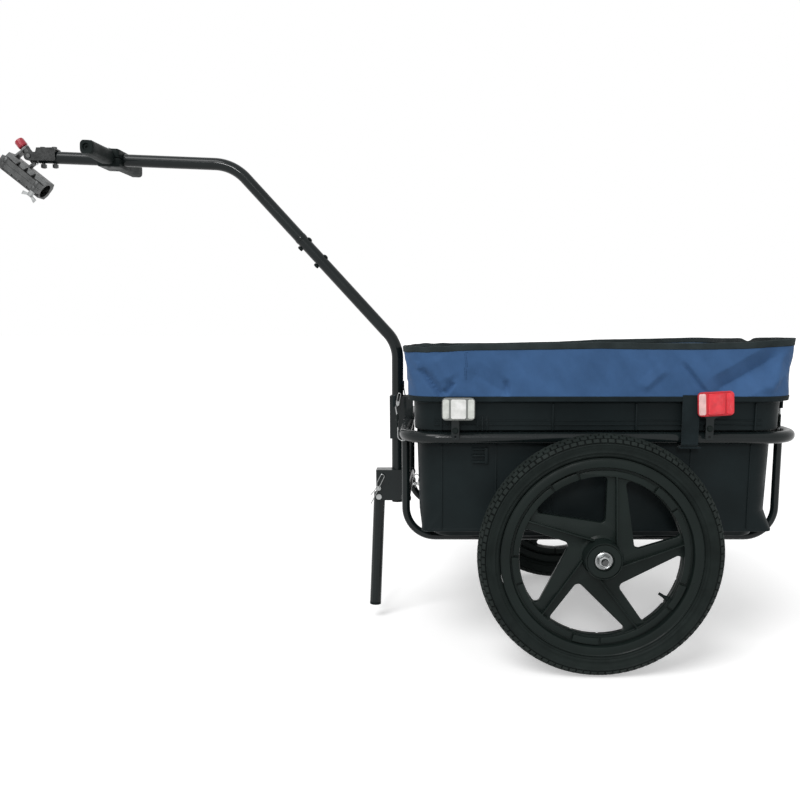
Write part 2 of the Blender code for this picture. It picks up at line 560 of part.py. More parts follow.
# Drawbar: the front tube's reduced end slides into the rear tube and is bolted
run_down = (BAR_LOW_BEND - BAR_HIGH_BEND).normalized()
joint = BAR_HIGH_BEND + run_down * ((JOINT_X - BAR_HIGH_BEND.x) / run_down.x)
bar_side = Vector((run_down.z, 0, -run_down.x))  # square to the sloping run, towards the ground
spigot_r = BAR_R - BAR_WALL - 2 * GAP


def across(x, z, low, high, radius, sides=16):
    """A round bar from side to side, between two distances from the middle plane."""
    return rod((x, low, z), (x, high, z), radius, sides)


def cross_hole(x, z, radius, sides=10):
    """A hole from side to side through the middle plane."""
    return across(x, z, -0.03, 0.03, radius, sides)


def joint_bolt_holes():
    holes = []
    for x in JOINT_BOLTS_X:
        spot = joint + run_down * ((x - JOINT_X) / run_down.x)
        holes.append(rod(spot - bar_side * 0.02, spot + bar_side * 0.02, PIN_HOLE, 10))
    return joined(*holes)


def coupling_bolt_holes():
    return joined(*[rod((x, 0, 0.86), (x, 0, 0.91), PIN_HOLE, 10) for x in COUPLING_BOLTS_X])


front_end = joint - run_down * GAP
part("drawbar_front_tube",
     pipe(bend([BAR_TIP, BAR_HIGH_BEND, front_end], BAR_HIGH_R, 5), BAR_R, 4, caps=True), BLACK_PAINT,
     add=[rod(front_end - run_down * 4 * MM, joint + run_down * SPIGOT, spigot_r, 16)],
     cut=[pipe(bend([BAR_TIP - ALONG_X * MM, BAR_HIGH_BEND, front_end - run_down * 6 * MM], BAR_HIGH_R, 5),
               BAR_R - BAR_WALL, 2),
          rod(front_end - run_down * 20 * MM, joint + run_down * (SPIGOT + 0.01), spigot_r - BAR_WALL, 12),
          joint_bolt_holes(), coupling_bolt_holes()])
part("drawbar_rear_tube", pipe(bend([joint, BAR_LOW_BEND, BAR_FOOT], BAR_LOW_R, 5), BAR_R, 4, caps=False),
     BLACK_PAINT, wall=BAR_WALL, cut=[
         joint_bolt_holes(), rod((-0.12, 0, CROSS_Z), (-0.03, 0, CROSS_Z), 3.4 * MM, 10),
         cross_hole(BAR_FOOT.x, UPPER_PIN_Z, PIN_HOLE)])
for word, x in zip(("upper", "lower"), JOINT_BOLTS_X):
    spot = joint + run_down * ((x - JOINT_X) / run_down.x)
    clear, head = bar_side * (BAR_R + GAP), 5 * MM
    part(f"drawbar_joint_bolt_{word}", rod(spot - bar_side * 13 * MM, spot + bar_side * 15 * MM, PIN_R, 12),
         ZINC, add=[rod(spot - bar_side * 14 * MM, spot - clear, head, 16),
                    rod(spot + clear, spot + bar_side * 16 * MM, head, 6)])

# Lower bracket: an upside-down channel that holds the drawbar's foot, the leg and its lock pin
plate_back = U_FRONT - CROSS_R - GAP
plate_shape = [(PLATE_FRONT, PLATE_LOW), (plate_back, PLATE_LOW), (plate_back, PLATE_TOP), (PLATE_FRONT, PLATE_TOP)]
channel_bolts = joined(cross_hole(LEG_PIVOT.x, LEG_PIVOT.z, PIVOT_HOLE, 12),
                       cross_hole(LOCK_PIN.x, LOCK_PIN.z, PIN_HOLE, 12))
part("lower_drawbar_bracket", outline(plate_shape, -PLATE_OUT, PLATE_OUT), BLACK_PAINT, cut=[
    block((-0.14, -PLATE_IN, 0.20), (0, PLATE_IN, PLATE_TOP - PLATE_THICK)),
    rod((BAR_FOOT.x, 0, 0.28), (BAR_FOOT.x, 0, 0.32), BAR_R + 2 * GAP, 16), channel_bolts])
pin_head, pin_end, head_r = BAR_FOOT.x - BAR_R - GAP, -0.0440, 5.5 * MM
lower_clip = [(pin_end - dx * MM, 0, CROSS_Z + dz * MM)
              for dx, dz in ((4, -8), (4, 9), (7.2, 15), (1.5, 19), (-4, 15), (-1.5, 4), (-1.5, -4))]
part("drawbar_lower_pin", rod((pin_head - 3 * MM, 0, CROSS_Z), (pin_end, 0, CROSS_Z), PIN_R, 16), ZINC, add=[
    rod((pin_head - 3 * MM, 0, CROSS_Z), (pin_head, 0, CROSS_Z), head_r, 16),
    pipe(bend(lower_clip, 1.5 * MM, 2), CLIP_WIRE_R, 1)])

# Upper bracket: a strap round the drawbar, welded to the ring's front
strap_out, strap_in = BAR_R + 3.1 * MM, BAR_R + 0.6 * MM
upper_x = BAR_LOW_BEND.x
part("upper_drawbar_bracket",
     block((upper_x - strap_out - MM, -strap_out, UPPER_LOW), (UPPER_REAR, strap_out, UPPER_HIGH)),
     BLACK_PAINT, cut=[
         block((upper_x - strap_in - MM, -strap_in, UPPER_LOW - 0.02), (-0.03, strap_in, UPPER_HIGH + 0.02)),
         rod((RING_FRONT, -0.05, RING_Z), (RING_FRONT, 0.05, RING_Z), RING_R + GAP, 18),
         block((-0.0600, -0.03, UPPER_LOW - 0.02), (-0.03, 0.03, RING_Z)),
         cross_hole(BAR_FOOT.x, UPPER_PIN_Z, PIN_HOLE, 16)])
clip_y = -20.8 * MM
upper_clip = [(BAR_FOOT.x + dx * MM, clip_y, UPPER_PIN_Z + dz * MM) for dx, dz in ((-1, -6), (4, 20), (9, 19), (5, -3))]
part("drawbar_upper_pin", across(BAR_FOOT.x, UPPER_PIN_Z, -22 * MM, 17.5 * MM, PIN_R), ZINC,
     origin=(BAR_FOOT.x, 0, UPPER_PIN_Z), add=[
         across(BAR_FOOT.x, UPPER_PIN_Z, -19.5 * MM, -14.6 * MM, head_r),
         pipe(bend(upper_clip, 2 * MM, 3), CLIP_WIRE_R, 1)])

# Leg: folds forwards about its pivot bolt and is stopped by the lock pin in front of its stub
LEG_WALL, LEG_PLUG = 1.6 * MM, 5 * MM
leg_down = (LEG_TIP - LEG_PIVOT).normalized()
leg_top = LEG_PIVOT - leg_down * 20 * MM
part("leg_tube", pipe([leg_top, LEG_TIP - leg_down * LEG_PLUG], LEG_R, 4, caps=False), BLACK_PAINT,
     wall=LEG_WALL, origin=LEG_PIVOT, cut=[
         cross_hole(LEG_PIVOT.x, LEG_PIVOT.z, PIVOT_HOLE, 12),
         block((LOCK_PIN.x - 0.03, -0.02, LEG_PIVOT.z + 6.5 * MM), (LOCK_PIN.x + 3.4 * MM, 0.02, 0.29))])
part("leg_foot", rod(LEG_TIP - leg_down * (LEG_PLUG - GAP), LEG_TIP, LEG_R, 14), BLACK_PLASTIC, origin=LEG_PIVOT,
     add=[rod(LEG_TIP - leg_down * 22 * MM, LEG_TIP - leg_down * 2 * MM, LEG_R - LEG_WALL - 2 * GAP, 16)])
pivot, lock = (LEG_PIVOT.x, LEG_PIVOT.z), (LOCK_PIN.x, LOCK_PIN.z)
part("leg_pivot_bolt", across(*pivot, -PLATE_OUT - 3 * MM, PLATE_OUT + 5 * MM, PIVOT_R), ZINC, add=[
    across(*pivot, -PLATE_OUT - 3.2 * MM, -PLATE_OUT - GAP, 5.4 * MM, 20),
    across(*pivot, PLATE_OUT + GAP, PLATE_OUT + 5.5 * MM, 6.5 * MM, 6)])
clip_out = 4.4 * MM  # the clip's wire, out from the bracket's face
part("leg_lock_pin", across(*lock, -PLATE_OUT - 6 * MM, PLATE_OUT + 3 * MM, PIN_R), ZINC, origin=LOCK_PIN,
     add=[across(*lock, -PLATE_OUT - 2.5 * MM, -PLATE_OUT - GAP, 4.6 * MM)],
     cut=[rod((LOCK_PIN.x - 0.02, -PLATE_OUT - clip_out, LOCK_PIN.z - 0.04),
              (LOCK_PIN.x + 0.02, -PLATE_OUT - clip_out, LOCK_PIN.z + 0.04), 1.3 * MM, 8)])
clip_along = Vector((0.447, 0, 0.894))
clip_side = Vector((-0.894, 0, 0.447))


def clip_point(along, side, lift=0.0):
    return LOCK_PIN + clip_along * along * MM + clip_side * side * MM - ALONG_Y * (PLATE_OUT + clip_out - lift * MM)


part("leg_lock_clip", pipe(bend([clip_point(-33, 0), clip_point(29, 0), clip_point(29, 7.5), clip_point(10, 7.5),
                                 clip_point(4, 4.6, -1), clip_point(-3, 4.6, -1), clip_point(-18, 8)],
                                [0, 3 * MM, 3 * MM, 4 * MM, 3 * MM, 4 * MM, 0], 3), 0.95 * MM, 1), ZINC,
     origin=LOCK_PIN)

# Handle: a cross grip clamped round the front tube
HUB_X, HUB_Y, HUB_Z, SEAM = 20 * MM, 30 * MM, 16 * MM, 0.15 * MM
tilt = math.atan2(BAR_HIGH_BEND.z - BAR_TIP.z, BAR_HIGH_BEND.x - BAR_TIP.x)
handle_z = BAR_TIP.z + math.tan(tilt) * (HANDLE_X - BAR_TIP.x)
HANDLE = Matrix.Translation((HANDLE_X, 0, handle_z)) @ Matrix.Rotation(-tilt, 4, "Y")


def handle_bore():
    return rod((-0.05, 0, 0), (0.05, 0, 0), BAR_R + GAP, 18, frame=HANDLE)


def grip_end_hole(side):
    end = side * HANDLE_HALF
    return rod((0, end - 5 * MM, 0), (0, end + 5 * MM, 0), 6 * MM, 12, frame=HANDLE)


grip = outline(rounded_box(12 * MM, 13 * MM, 6 * MM, 3), -HANDLE_HALF, HANDLE_HALF,
               HANDLE @ frame_at((0, 0, 0), ALONG_X, ALONG_Z, -ALONG_Y))
part("handle_grip", grip, BLACK_PLASTIC,
     add=[block((-HUB_X, -HUB_Y - MM, -MM), (HUB_X, HUB_Y + MM, HUB_Z), HANDLE)],
     cut=[handle_bore(), block((-0.03, -HUB_Y - GAP, -0.03), (0.03, HUB_Y + GAP, SEAM), HANDLE),
          grip_end_hole(-1), grip_end_hole(1)])
screw_wells = joined(*[rod((0, y, -0.03), (0, y, -12 * MM), 3.5 * MM, 12, frame=HANDLE) for y in (-22 * MM, 22 * MM)])
part("handle_clamp", block((-HUB_X, -HUB_Y, -HUB_Z), (HUB_X, HUB_Y, -SEAM), HANDLE), BLACK_PLASTIC,
     cut=[handle_bore(), screw_wells], soften=1.5 * MM)

# Coupling bracket: a saddle bolted over the drawbar's front end, its cheeks holding the knuckle
cheek = bend([(-0.7625, 0.8740, 0), (-0.7050, 0.8740, 0), (-0.7050, CHEEK_TOP, 0), (-0.7385, CHEEK_TOP, 0),
              (-0.7410, 0.8892, 0), (-0.7625, 0.8892, 0)],
             [7.5 * MM, 3 * MM, 2 * MM, 1 * MM, 1 * MM, 7 * MM], 3, closed=True)
part("coupling_bracket", outline(flat(cheek), -CHEEK_OUT, CHEEK_OUT), ZINC, cut=[
    block((-0.78, -CHEEK_IN, 0.86), (-0.69, CHEEK_IN, CHEEK_TOP - 3 * MM)),
    block((-0.78, -CHEEK_IN, 0.88), (-0.7385, CHEEK_IN, 0.92)),
    cross_hole(PITCH.x, PITCH.z, PIVOT_HOLE, 20), coupling_bolt_holes()])
for word, x in zip(("front", "rear"), COUPLING_BOLTS_X):
    part(f"coupling_bolt_{word}", rod((x, 0, 0.8620), (x, 0, 0.8995), PIN_R, 12), ZINC, add=[
        rod((x, 0, CHEEK_TOP + GAP), (x, 0, 0.8998), 4.6 * MM, 16),
        rod((x, 0, 0.8628), (x, 0, 0.8690), 5.2 * MM, 6)])


# Knuckle: two crossed barrels, with trunnions in the bracket's cheeks and a bore for the release pin
def pin_bore():
    return rod((0, 0, -0.03), (0, 0, 0.03), PIN_HOLE, 12, frame=PIN_FRAME)


part("hitch_knuckle", rod((-KNUCKLE_HALF, 0, 0), (KNUCKLE_HALF, 0, 0), KNUCKLE_R, 18, frame=PIN_FRAME), ZINC,
     origin=PITCH, add=[
         rod((0, 0, BARREL_LOW), (0, 0, BARREL_HIGH), BARREL_R, 18, frame=PIN_FRAME),
         rod((-15.8 * MM, 0, 0), (15.8 * MM, 0, 0), PIVOT_R, 12, frame=PIN_FRAME)],
     cut=[pin_bore()])
part("release_pin", rod((0, 0, -16 * MM), (0, 0, 23 * MM), PIN_R, 16, frame=PIN_FRAME), ZINC, origin=PITCH)
part("release_knob", turned([(PIN_HOLE, 22 * MM), (7.5 * MM, 22 * MM), (9 * MM, 24 * MM), (9 * MM, 36 * MM),
                             (6 * MM, 38 * MM), (1 * MM, 38 * MM), (1 * MM, 23.3 * MM), (PIN_HOLE, 23.3 * MM)],
                            16, PIN_FRAME), RED_PLASTIC, origin=PITCH)


# Clamp: two cast halves round the seat post, hinged on the right side and drawn shut by two screws
def half_clamp(sign, depth):
    far = CLAMP_HALF - 4 * MM
    shape = [(-CLAMP_HALF, 0), (far, 0), (far, depth - FLANGE), (far - 6 * MM, depth), (-11 * MM, depth),
             (-14.5 * MM, FLANGE), (-CLAMP_HALF, FLANGE)]
    frame = CLAMP_FRAME @ frame_at((0, 0, 0), ALONG_Y, ALONG_Z, ALONG_X)
    return outline([(y, sign * (n + 0.2 * MM)) for y, n in shape], -CLAMP_LONG / 2, CLAMP_LONG / 2, frame)


def hinge_barrel(low, high, radius):
    return rod((low, HINGE_SIDE, 0), (high, HINGE_SIDE, 0), radius, 12, frame=CLAMP_FRAME)


def hinge_web(low, high, n_low, n_high):
    return block((low, 20 * MM, n_low), (high, HINGE_SIDE, n_high), CLAMP_FRAME)


def seat_post():
    return rod((-0.06, 0, 0), (0.06, 0, 0), CLAMP_BORE, 24, frame=CLAMP_FRAME)


def screw_holes(n_low, n_high, radius):
    return joined(*[rod((d, SCREW_SIDE, n_low), (d, SCREW_SIDE, n_high), radius, 10, frame=CLAMP_FRAME)
                    for d in (-SCREW_AT, SCREW_AT)])


def arm(heights, reach, radius, flare=0.0):
    """A flat ear from the release pin to the clamp."""
    shape = [(-radius * math.cos(a), -radius * math.sin(a)) for a in np.linspace(0, math.pi, 7)]
    return outline(shape + [(radius + flare, reach), (-radius - flare, reach)], *heights, PIN_FRAME)


JAW_HINGE = CLAMP_FRAME @ Vector((0, HINGE_SIDE, 0))
part("clamp_body", half_clamp(1, CLAMP_BODY), CAST_ALUMINIUM, origin=PITCH, add=[
    arm(EAR_HIGH, 26 * MM, 8 * MM, 2 * MM), arm(EAR_LOW, 19 * MM, 6.3 * MM),
    hinge_web(-HINGE_MIDDLE, HINGE_MIDDLE, 0.5 * MM, 4 * MM), hinge_barrel(-HINGE_MIDDLE, HINGE_MIDDLE, HINGE_R),
    hinge_barrel(-30 * MM, 30 * MM, HINGE_PIN_R)],
    cut=[seat_post(), screw_holes(-1 * MM, 8.5 * MM, HINGE_R), pin_bore()])
gap_end = HINGE_MIDDLE + 0.5 * MM
part("clamp_jaw", half_clamp(-1, CLAMP_JAW), CAST_ALUMINIUM, origin=JAW_HINGE, add=[
    hinge_web(-HINGE_END, -gap_end, -4 * MM, -0.5 * MM), hinge_web(gap_end, HINGE_END, -4 * MM, -0.5 * MM),
    hinge_barrel(-HINGE_END, -gap_end, HINGE_R), hinge_barrel(gap_end, HINGE_END, HINGE_R)],
    cut=[seat_post(), screw_holes(-20 * MM, 1 * MM, SCREW_R + GAP),
         hinge_barrel(-31 * MM, 31 * MM, HINGE_PIN_R + GAP)])
flange_face = -FLANGE - 0.2 * MM - GAP


def screw(d):
    """A screw through the jaw's flange into the body's, in the clamp's own directions."""
    return rod((d, SCREW_SIDE, flange_face - MM), (d, SCREW_SIDE, 7.5 * MM), SCREW_R, 12, frame=CLAMP_FRAME)


part("clamp_hex_screw", screw(-SCREW_AT), ZINC, origin=JAW_HINGE, add=[
    rod((-SCREW_AT, SCREW_SIDE, flange_face - 4.2 * MM), (-SCREW_AT, SCREW_SIDE, flange_face), 5.6 * MM, 6,
        frame=CLAMP_FRAME)])
wings = [(-4, -17.5), (-14, -20), (-13, -27), (-4, -22), (4, -22), (13, -27), (14, -20), (4, -17.5)]
WING_FRAME = CLAMP_FRAME @ frame_at((SCREW_AT, SCREW_SIDE, 0), ALONG_X, ALONG_Z, -ALONG_Y)
part("wing_screw", screw(SCREW_AT), ZINC, origin=CLAMP_FRAME @ Vector((SCREW_AT, SCREW_SIDE, 0)), add=[
    rod((SCREW_AT, SCREW_SIDE, -21.5 * MM), (SCREW_AT, SCREW_SIDE, flange_face), 5 * MM, 16, frame=CLAMP_FRAME),
    outline([(x * MM, n * MM) for x, n in wings], -1.5 * MM, 1.5 * MM, WING_FRAME)])

# Origin to the bottom centre of the whole trailer
for obj in PARTS.objects:
    obj.location.x += DATUM_X
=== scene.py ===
"""Looks of the bicycle trailer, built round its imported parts.

Metres, +Z up, in the parts' own frame. As in the parts' source, side-view positions are written from
a datum line 263 mm ahead of the axle, and the last step of each piece moves it by DATUM_X.
"""
from math import atan2, cos, exp, hypot, pi, radians, sin, sqrt, tan

import bmesh
import bpy
import numpy as np
from mathutils import Matrix, Vector


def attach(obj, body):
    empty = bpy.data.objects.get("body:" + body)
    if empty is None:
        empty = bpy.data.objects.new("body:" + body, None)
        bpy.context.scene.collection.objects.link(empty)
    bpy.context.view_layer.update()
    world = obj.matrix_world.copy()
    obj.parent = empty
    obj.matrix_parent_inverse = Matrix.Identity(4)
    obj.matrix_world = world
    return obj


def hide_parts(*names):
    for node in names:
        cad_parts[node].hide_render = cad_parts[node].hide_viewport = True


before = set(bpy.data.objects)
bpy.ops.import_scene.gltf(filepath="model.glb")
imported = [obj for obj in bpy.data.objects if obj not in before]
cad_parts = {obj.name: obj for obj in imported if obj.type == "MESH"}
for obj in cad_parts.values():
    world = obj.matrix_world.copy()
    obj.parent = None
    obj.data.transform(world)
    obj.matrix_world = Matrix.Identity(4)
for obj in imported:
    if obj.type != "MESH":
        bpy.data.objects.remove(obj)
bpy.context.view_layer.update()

MM = 0.001
DATUM_X = 0.1024
GAP = 0.3 * MM

# Sizes shared with the parts
WHEEL_X, WHEEL_Z, WHEEL_SIDE = 0.2631, 0.2025, 0.29
RING_Z, RING_FRONT, RING_REAR, RING_SIDE, RING_R, RING_BEND = 0.392, -0.0602, 0.5964, 0.245, 10 * MM, 0.06
U_FRONT, U_REAR, U_SIDE, U_BOTTOM, U_R, U_BEND = -0.0605, 0.5964, 0.15, 0.2025, 7 * MM, 0.052
CROSS_Z, AXLE_TUBE_R, AXLE_TUBE_END = 0.27, 12.5 * MM, 0.2445
BAR_R = 11 * MM
BAR_TIP, BAR_HIGH_BEND = Vector((-0.739, 0, 0.8822)), Vector((-0.382, 0, 0.8685))
BAR_LOW_BEND, BAR_FOOT = Vector((-0.0808, 0, 0.5399)), Vector((-0.0828, 0, 0.235))
BAR_HIGH_R, BAR_LOW_R, JOINT_X = 0.08, 0.07, -0.262
HANDLE_X, HANDLE_HALF = -0.603, 0.13
TUB_LEDGE = 0.404
COVER_LOW, COVER_HIGH, COVER_TOP, HEM = 0.453, 0.538, 0.5485, 8.5 * MM
PITCH, YAW = Vector((-0.7535, 0, 0.8822)), Vector((-0.6, 0, 0.8))
CLAMP, CLAMP_ALONG = Vector((-0.767, 0, 0.848)), Vector((0.7795, 0, -0.6264)).normalized()
CLAMP_BODY, CLAMP_JAW = 18 * MM, 16 * MM
SCREW_AT, SCREW_SIDE = 34 * MM, -20.5 * MM

X, Y, Z = Vector((1, 0, 0)), Vector((0, 1, 0)), Vector((0, 0, 1))


def set_all(made, values):
    for key, value in values.items():
        setattr(made, key, value)
    return made


# Node materials
def add(tree, kind, inputs, output=0, **values):
    """An output of a new node; its inputs are sockets to link or values to set."""
    made = set_all(tree.nodes.new(kind), values)
    for name, value in inputs.items():
        if isinstance(value, bpy.types.NodeSocket):
            tree.links.new(value, made.inputs[name])
        else:
            made.inputs[name].default_value = value
    return made.outputs[output]


class Look:
    """A Principled material being made, with short names for its nodes."""

    def __init__(self, name, colour, roughness, **settings):
        self.made = bpy.data.materials.new(name)
        self.made.use_nodes = True
        self.tree = self.made.node_tree
        self.shader = self.tree.nodes["Principled BSDF"]
        self.colour, self.roughness = colour, roughness
        settings.update(Base_Color=(*colour, 1), Roughness=roughness)
        for socket, value in settings.items():
            self.shader.inputs[socket.replace("_", " ")].default_value = value
        self.place = self.tree.nodes.new("ShaderNodeTexCoord").outputs["Object"]
        self.relief = {}

    def drive(self, socket, source):
        self.tree.links.new(source, self.shader.inputs[socket])
        return self

    def noise(self, scale, detail=3.0, rough=0.5):
        settings = {"Scale": scale, "Detail": detail, "Roughness": rough, "Vector": self.place}
        return add(self.tree, "ShaderNodeTexNoise", settings, "Fac")

    def calc(self, kind, first, second=0.5):
        return add(self.tree, "ShaderNodeMath", {0: first, 1: second}, operation=kind)

    def tint(self, source, amount, low=0.3, high=0.7):
        """Base colour darker and lighter with the source."""
        ramp = self.tree.nodes.new("ShaderNodeValToRGB")
        for element, at, change in zip(ramp.color_ramp.elements, (low, high), (1 - amount, 1 + amount)):
            element.position = at
            element.color = (*(min(1, c * change) for c in self.colour), 1)
        self.tree.links.new(source, ramp.inputs["Fac"])
        return self.drive("Base Color", ramp.outputs["Color"])

    def polish(self, source, amount):
        """Roughness up and down with the source."""
        span = {"From Min": 0.3, "From Max": 0.7, "To Min": max(0.02, self.roughness - amount),
            "To Max": min(1, self.roughness + amount), "Value": source}
        return self.drive("Roughness", add(self.tree, "ShaderNodeMapRange", span, "Result"))

    def bump(self, source, depth, strength=0.5):
        """Relief of a depth in mm, over any relief set before."""
        settings = {"Strength": strength, "Distance": depth * MM, "Height": source, **self.relief}
        self.relief["Normal"] = add(self.tree, "ShaderNodeBump", settings, "Normal")
        return self.drive("Normal", self.relief["Normal"])

    def axes(self):
        made = self.tree.nodes.new("ShaderNodeSeparateXYZ")
        self.tree.links.new(self.place, made.inputs["Vector"])
        return made.outputs

    def wave(self, along, pitch):
        """A sine between -1 and 1 along a length, one turn per pitch in mm."""
        return self.calc("SINE", self.calc("MULTIPLY", along, 2 * pi / (pitch * MM)))


def grained(name, colour, roughness, mottle, tint, smears, polish, grain, depth, strength=0.45, **settings):
    """Mottled colour, smeared gloss and fine grain; a noise is given by scale, detail, roughness."""
    look = Look(name, colour, roughness, **settings)
    look.tint(look.noise(*mottle), tint).polish(look.noise(*smears), polish)
    return look.bump(look.noise(*grain), depth, strength).made


def moulded(name, colour, roughness, grain=900, gloss=0.08):
    return grained(name, colour, roughness, (9, 5, 0.6), 0.22, (35, 4), 0.09, (grain, 3), 0.1,
        Specular_IOR_Level=gloss)


def tyre_rubber(name, colour):
    return grained(name, colour, 0.62, (22, 5, 0.65), 0.3, (70, 3), 0.1, (650, 4), 0.14, 0.5,
        Specular_IOR_Level=0.07)


def metal(name, shade, roughness, grain=700):
    """Metal with a faint mottle and fine scratches."""
    return grained(name, (shade, shade * 1.03, shade * 1.03), roughness, (90, 5, 0.6), 0.22, (220, 4), 0.11,
        (grain, 3), 0.12, Metallic=1.0)


def woven(name, colour, roughness=0.7, thread=0.55):
    """Plain weave of warp and weft threads, slightly soiled and faded."""
    look = Look(name, colour, roughness, Specular_IOR_Level=0.1, Sheen_Weight=0.05, Sheen_Roughness=0.5)
    x, y, z = look.axes()
    weave = look.calc("MULTIPLY", look.wave(look.calc("ADD", x, y), 2 * thread), look.wave(z, 2 * thread))
    look.tint(look.calc("ADD", look.calc("MULTIPLY", weave, 0.07), look.noise(18, 5, 0.6)), 0.13)
    look.polish(look.noise(40, 3), 0.06).bump(look.noise(38, 4), 0.9, 0.25)
    return look.bump(weave, 0.1).made


def webbing(name, colour):
    """Binding tape with fine ribs along it and a cross weave."""
    look = Look(name, colour, 0.8, Specular_IOR_Level=0.08, Sheen_Weight=0.04)
    x, y, z = look.axes()
    ribs = look.wave(z, 1.3)
    look.tint(look.calc("ADD", look.calc("MULTIPLY", ribs, 0.1), look.noise(30, 4)), 0.25)
    return look.bump(ribs, 0.22).bump(look.wave(look.calc("ADD", x, y), 1.1), 0.12, 0.4).made


def lens(name, colour, pitch=3.1):
    """Rows of small prisms under a glossy face."""
    look = Look(name, colour, 0.22, Specular_IOR_Level=0.35, Coat_Weight=0.2, Coat_Roughness=0.05)
    x, y, z = look.axes()
    rows = look.calc("MULTIPLY", *(look.wave(look.calc(way, x, z), pitch) for way in ("ADD", "SUBTRACT")))
    look.tint(look.calc("ADD", look.calc("MULTIPLY", rows, 0.3), look.noise(90, 3)), 0.24, 0.2, 0.8)
    return look.bump(rows, 0.4).made


BLACK_PAINT = grained("black_powder_coat", (0.006, 0.0095, 0.01), 0.3, (14, 4), 0.25, (60, 3), 0.07,
    (420, 2), 0.12, 0.35, Specular_IOR_Level=0.1, Coat_Weight=0.28, Coat_Roughness=0.05)
TUB_PLASTIC = moulded("tub_plastic", (0.0085, 0.013, 0.014), 0.46, 700)
GRIP_PLASTIC = moulded("grip_plastic", (0.009, 0.013, 0.0125), 0.5, 500)
WHEEL_PLASTIC = moulded("wheel_plastic", (0.0085, 0.013, 0.0118), 0.36, 1100, 0.11)
TYRE_RUBBER = tyre_rubber("tyre_rubber", (0.011, 0.015, 0.014))
# Darker copy of the tyre rubber for the groove floors between the tread blocks: painted shade.
TREAD_GROOVE_SHADE = tyre_rubber("tread_groove_painted_shade", (0.0035, 0.005, 0.0048))
# Lighter copy of the tyre rubber for the tread blocks: painted light.
TREAD_BLOCK_LIT = tyre_rubber("tread_block_painted_light", (0.017, 0.022, 0.0205))
BLUE_CLOTH = woven("blue_oxford_cloth", (0.046, 0.108, 0.236))
INNER_CLOTH = woven("cloth_inner_coating", (0.06, 0.1, 0.15), 0.6)
BLACK_TAPE = webbing("black_binding_tape", (0.0115, 0.0175, 0.0195))
# Lighter copy of the black binding tape for the top hem: painted light on the upward edge.
TOP_TAPE_LIT = webbing("top_binding_painted_light", (0.026, 0.0345, 0.036))
THREAD = webbing("sewing_thread", (0.012, 0.034, 0.09))
HEM_THREAD = webbing("hem_thread", (0.034, 0.044, 0.048))
ZINC = metal("bright_zinc", 0.34, 0.3)
DULL_ZINC = metal("dull_zinc", 0.085, 0.42)
DARK_ZINC = metal("dark_zinc", 0.04, 0.34)
FORGED = metal("forged_steel", 0.085, 0.36)
CAST_ALUMINIUM = metal("cast_metal", 0.072, 0.44, 900)
CLEAR_LENS = lens("clear_lens", (0.83, 0.84, 0.8))
# Darker copy of the clear lens for the side panes: painted shade.
CLEAR_SIDE_SHADE = lens("clear_lens_painted_shade", (0.62, 0.64, 0.6))
RED_LENS = lens("red_lens", (0.76, 0.022, 0.038))
# Pale copy of the red lens for the left pane: a painted highlight.
RED_SIDE_HIGHLIGHT = lens("red_lens_painted_highlight", (0.84, 0.52, 0.5), 2.3)
LENS_EDGE = moulded("lens_back", (0.2, 0.21, 0.2), 0.35)
RED_EDGE = moulded("red_lens_back", (0.5, 0.04, 0.05), 0.3)
RED_PLASTIC = moulded("red_plastic", (0.42, 0.03, 0.05), 0.22, 800, 0.4)


# Shapes
def frame_at(origin, x_axis, y_axis, z_axis):
    """A placement whose local axes are the three given directions."""
    turn = Matrix((x_axis, y_axis, z_axis)).transposed()
    return Matrix.Translation(origin) @ turn.to_4x4()


ORIGIN = (0, 0, 0)
SIDE_VIEW = frame_at(ORIGIN, X, Z, -Y)  # a drawing in X and Z, thick in Y
END_VIEW = frame_at(ORIGIN, Y, Z, X)  # a drawing in Y and Z, thick in X
PIN_FRAME = frame_at(PITCH, Y, YAW.cross(Y), YAW)
CLAMP_FRAME = frame_at(CLAMP, CLAMP_ALONG, Y, CLAMP_ALONG.cross(Y))


def mm(*points):
    """Points given in millimetres."""
    return [tuple(value * MM for value in point) for point in points]


def show(made):
    bpy.context.scene.collection.objects.link(made)
    return made


def as_object(bm, name="shape"):
    """An object that holds the shape, which is used up."""
    mesh = bpy.data.meshes.new(name)
    bm.to_mesh(mesh)
    bm.free()
    return bpy.data.objects.new(name, mesh)


def joined(*shapes):
    whole = bmesh.new()
    for shape in shapes:
        held = as_object(shape).data
        whole.from_mesh(held)
        bpy.data.meshes.remove(held)
    return whole


def face_out(bm):
    bmesh.ops.recalc_face_normals(bm, faces=bm.faces)
    if bm.calc_volume(signed=True) < 0:
        bmesh.ops.reverse_faces(bm, faces=bm.faces)
    return bm


def skin(bm, rings, caps=True):
    """Faces between closed rings of points, and over the end rings."""
    for low, high in zip(rings, rings[1:]):
        for i in range(len(low)):
            j = (i + 1) % len(low)
            bm.faces.new((low[i], low[j], high[j], high[i]))
    if caps:
        bm.faces.new(list(reversed(rings[0])))
        bm.faces.new(rings[-1])
    return bm


def evaluated(holder):
    """The final mesh of a helper object, which is then removed."""
    show(holder)
    graph = bpy.context.evaluated_depsgraph_get()
    mesh = bpy.data.meshes.new_from_object(holder.evaluated_get(graph))
    bpy.data.objects.remove(holder)
    bm = bmesh.new()
    bm.from_mesh(mesh)
    bpy.data.meshes.remove(mesh)
    bmesh.ops.remove_doubles(bm, verts=bm.verts, dist=2e-6)
    return bm


def modify(holder, *modifiers):
    """Adds modifiers given as (kind, settings)."""
    for kind, settings in modifiers:
        set_all(holder.modifiers.new(kind, kind), settings)
    return holder


def with_modifiers(bm, *modifiers):
    return evaluated(modify(as_object(bm), *modifiers))


def rounding(width, segments=3, angle=40):
    """A modifier that rounds edges sharper than an angle by a width in mm."""
    return "BEVEL", {"width": width * MM, "segments": segments, "limit_method": "ANGLE",
        "angle_limit": radians(angle)}


def rounded(bm, width, segments=3, angle=40):
    return with_modifiers(bm, rounding(width, segments, angle))


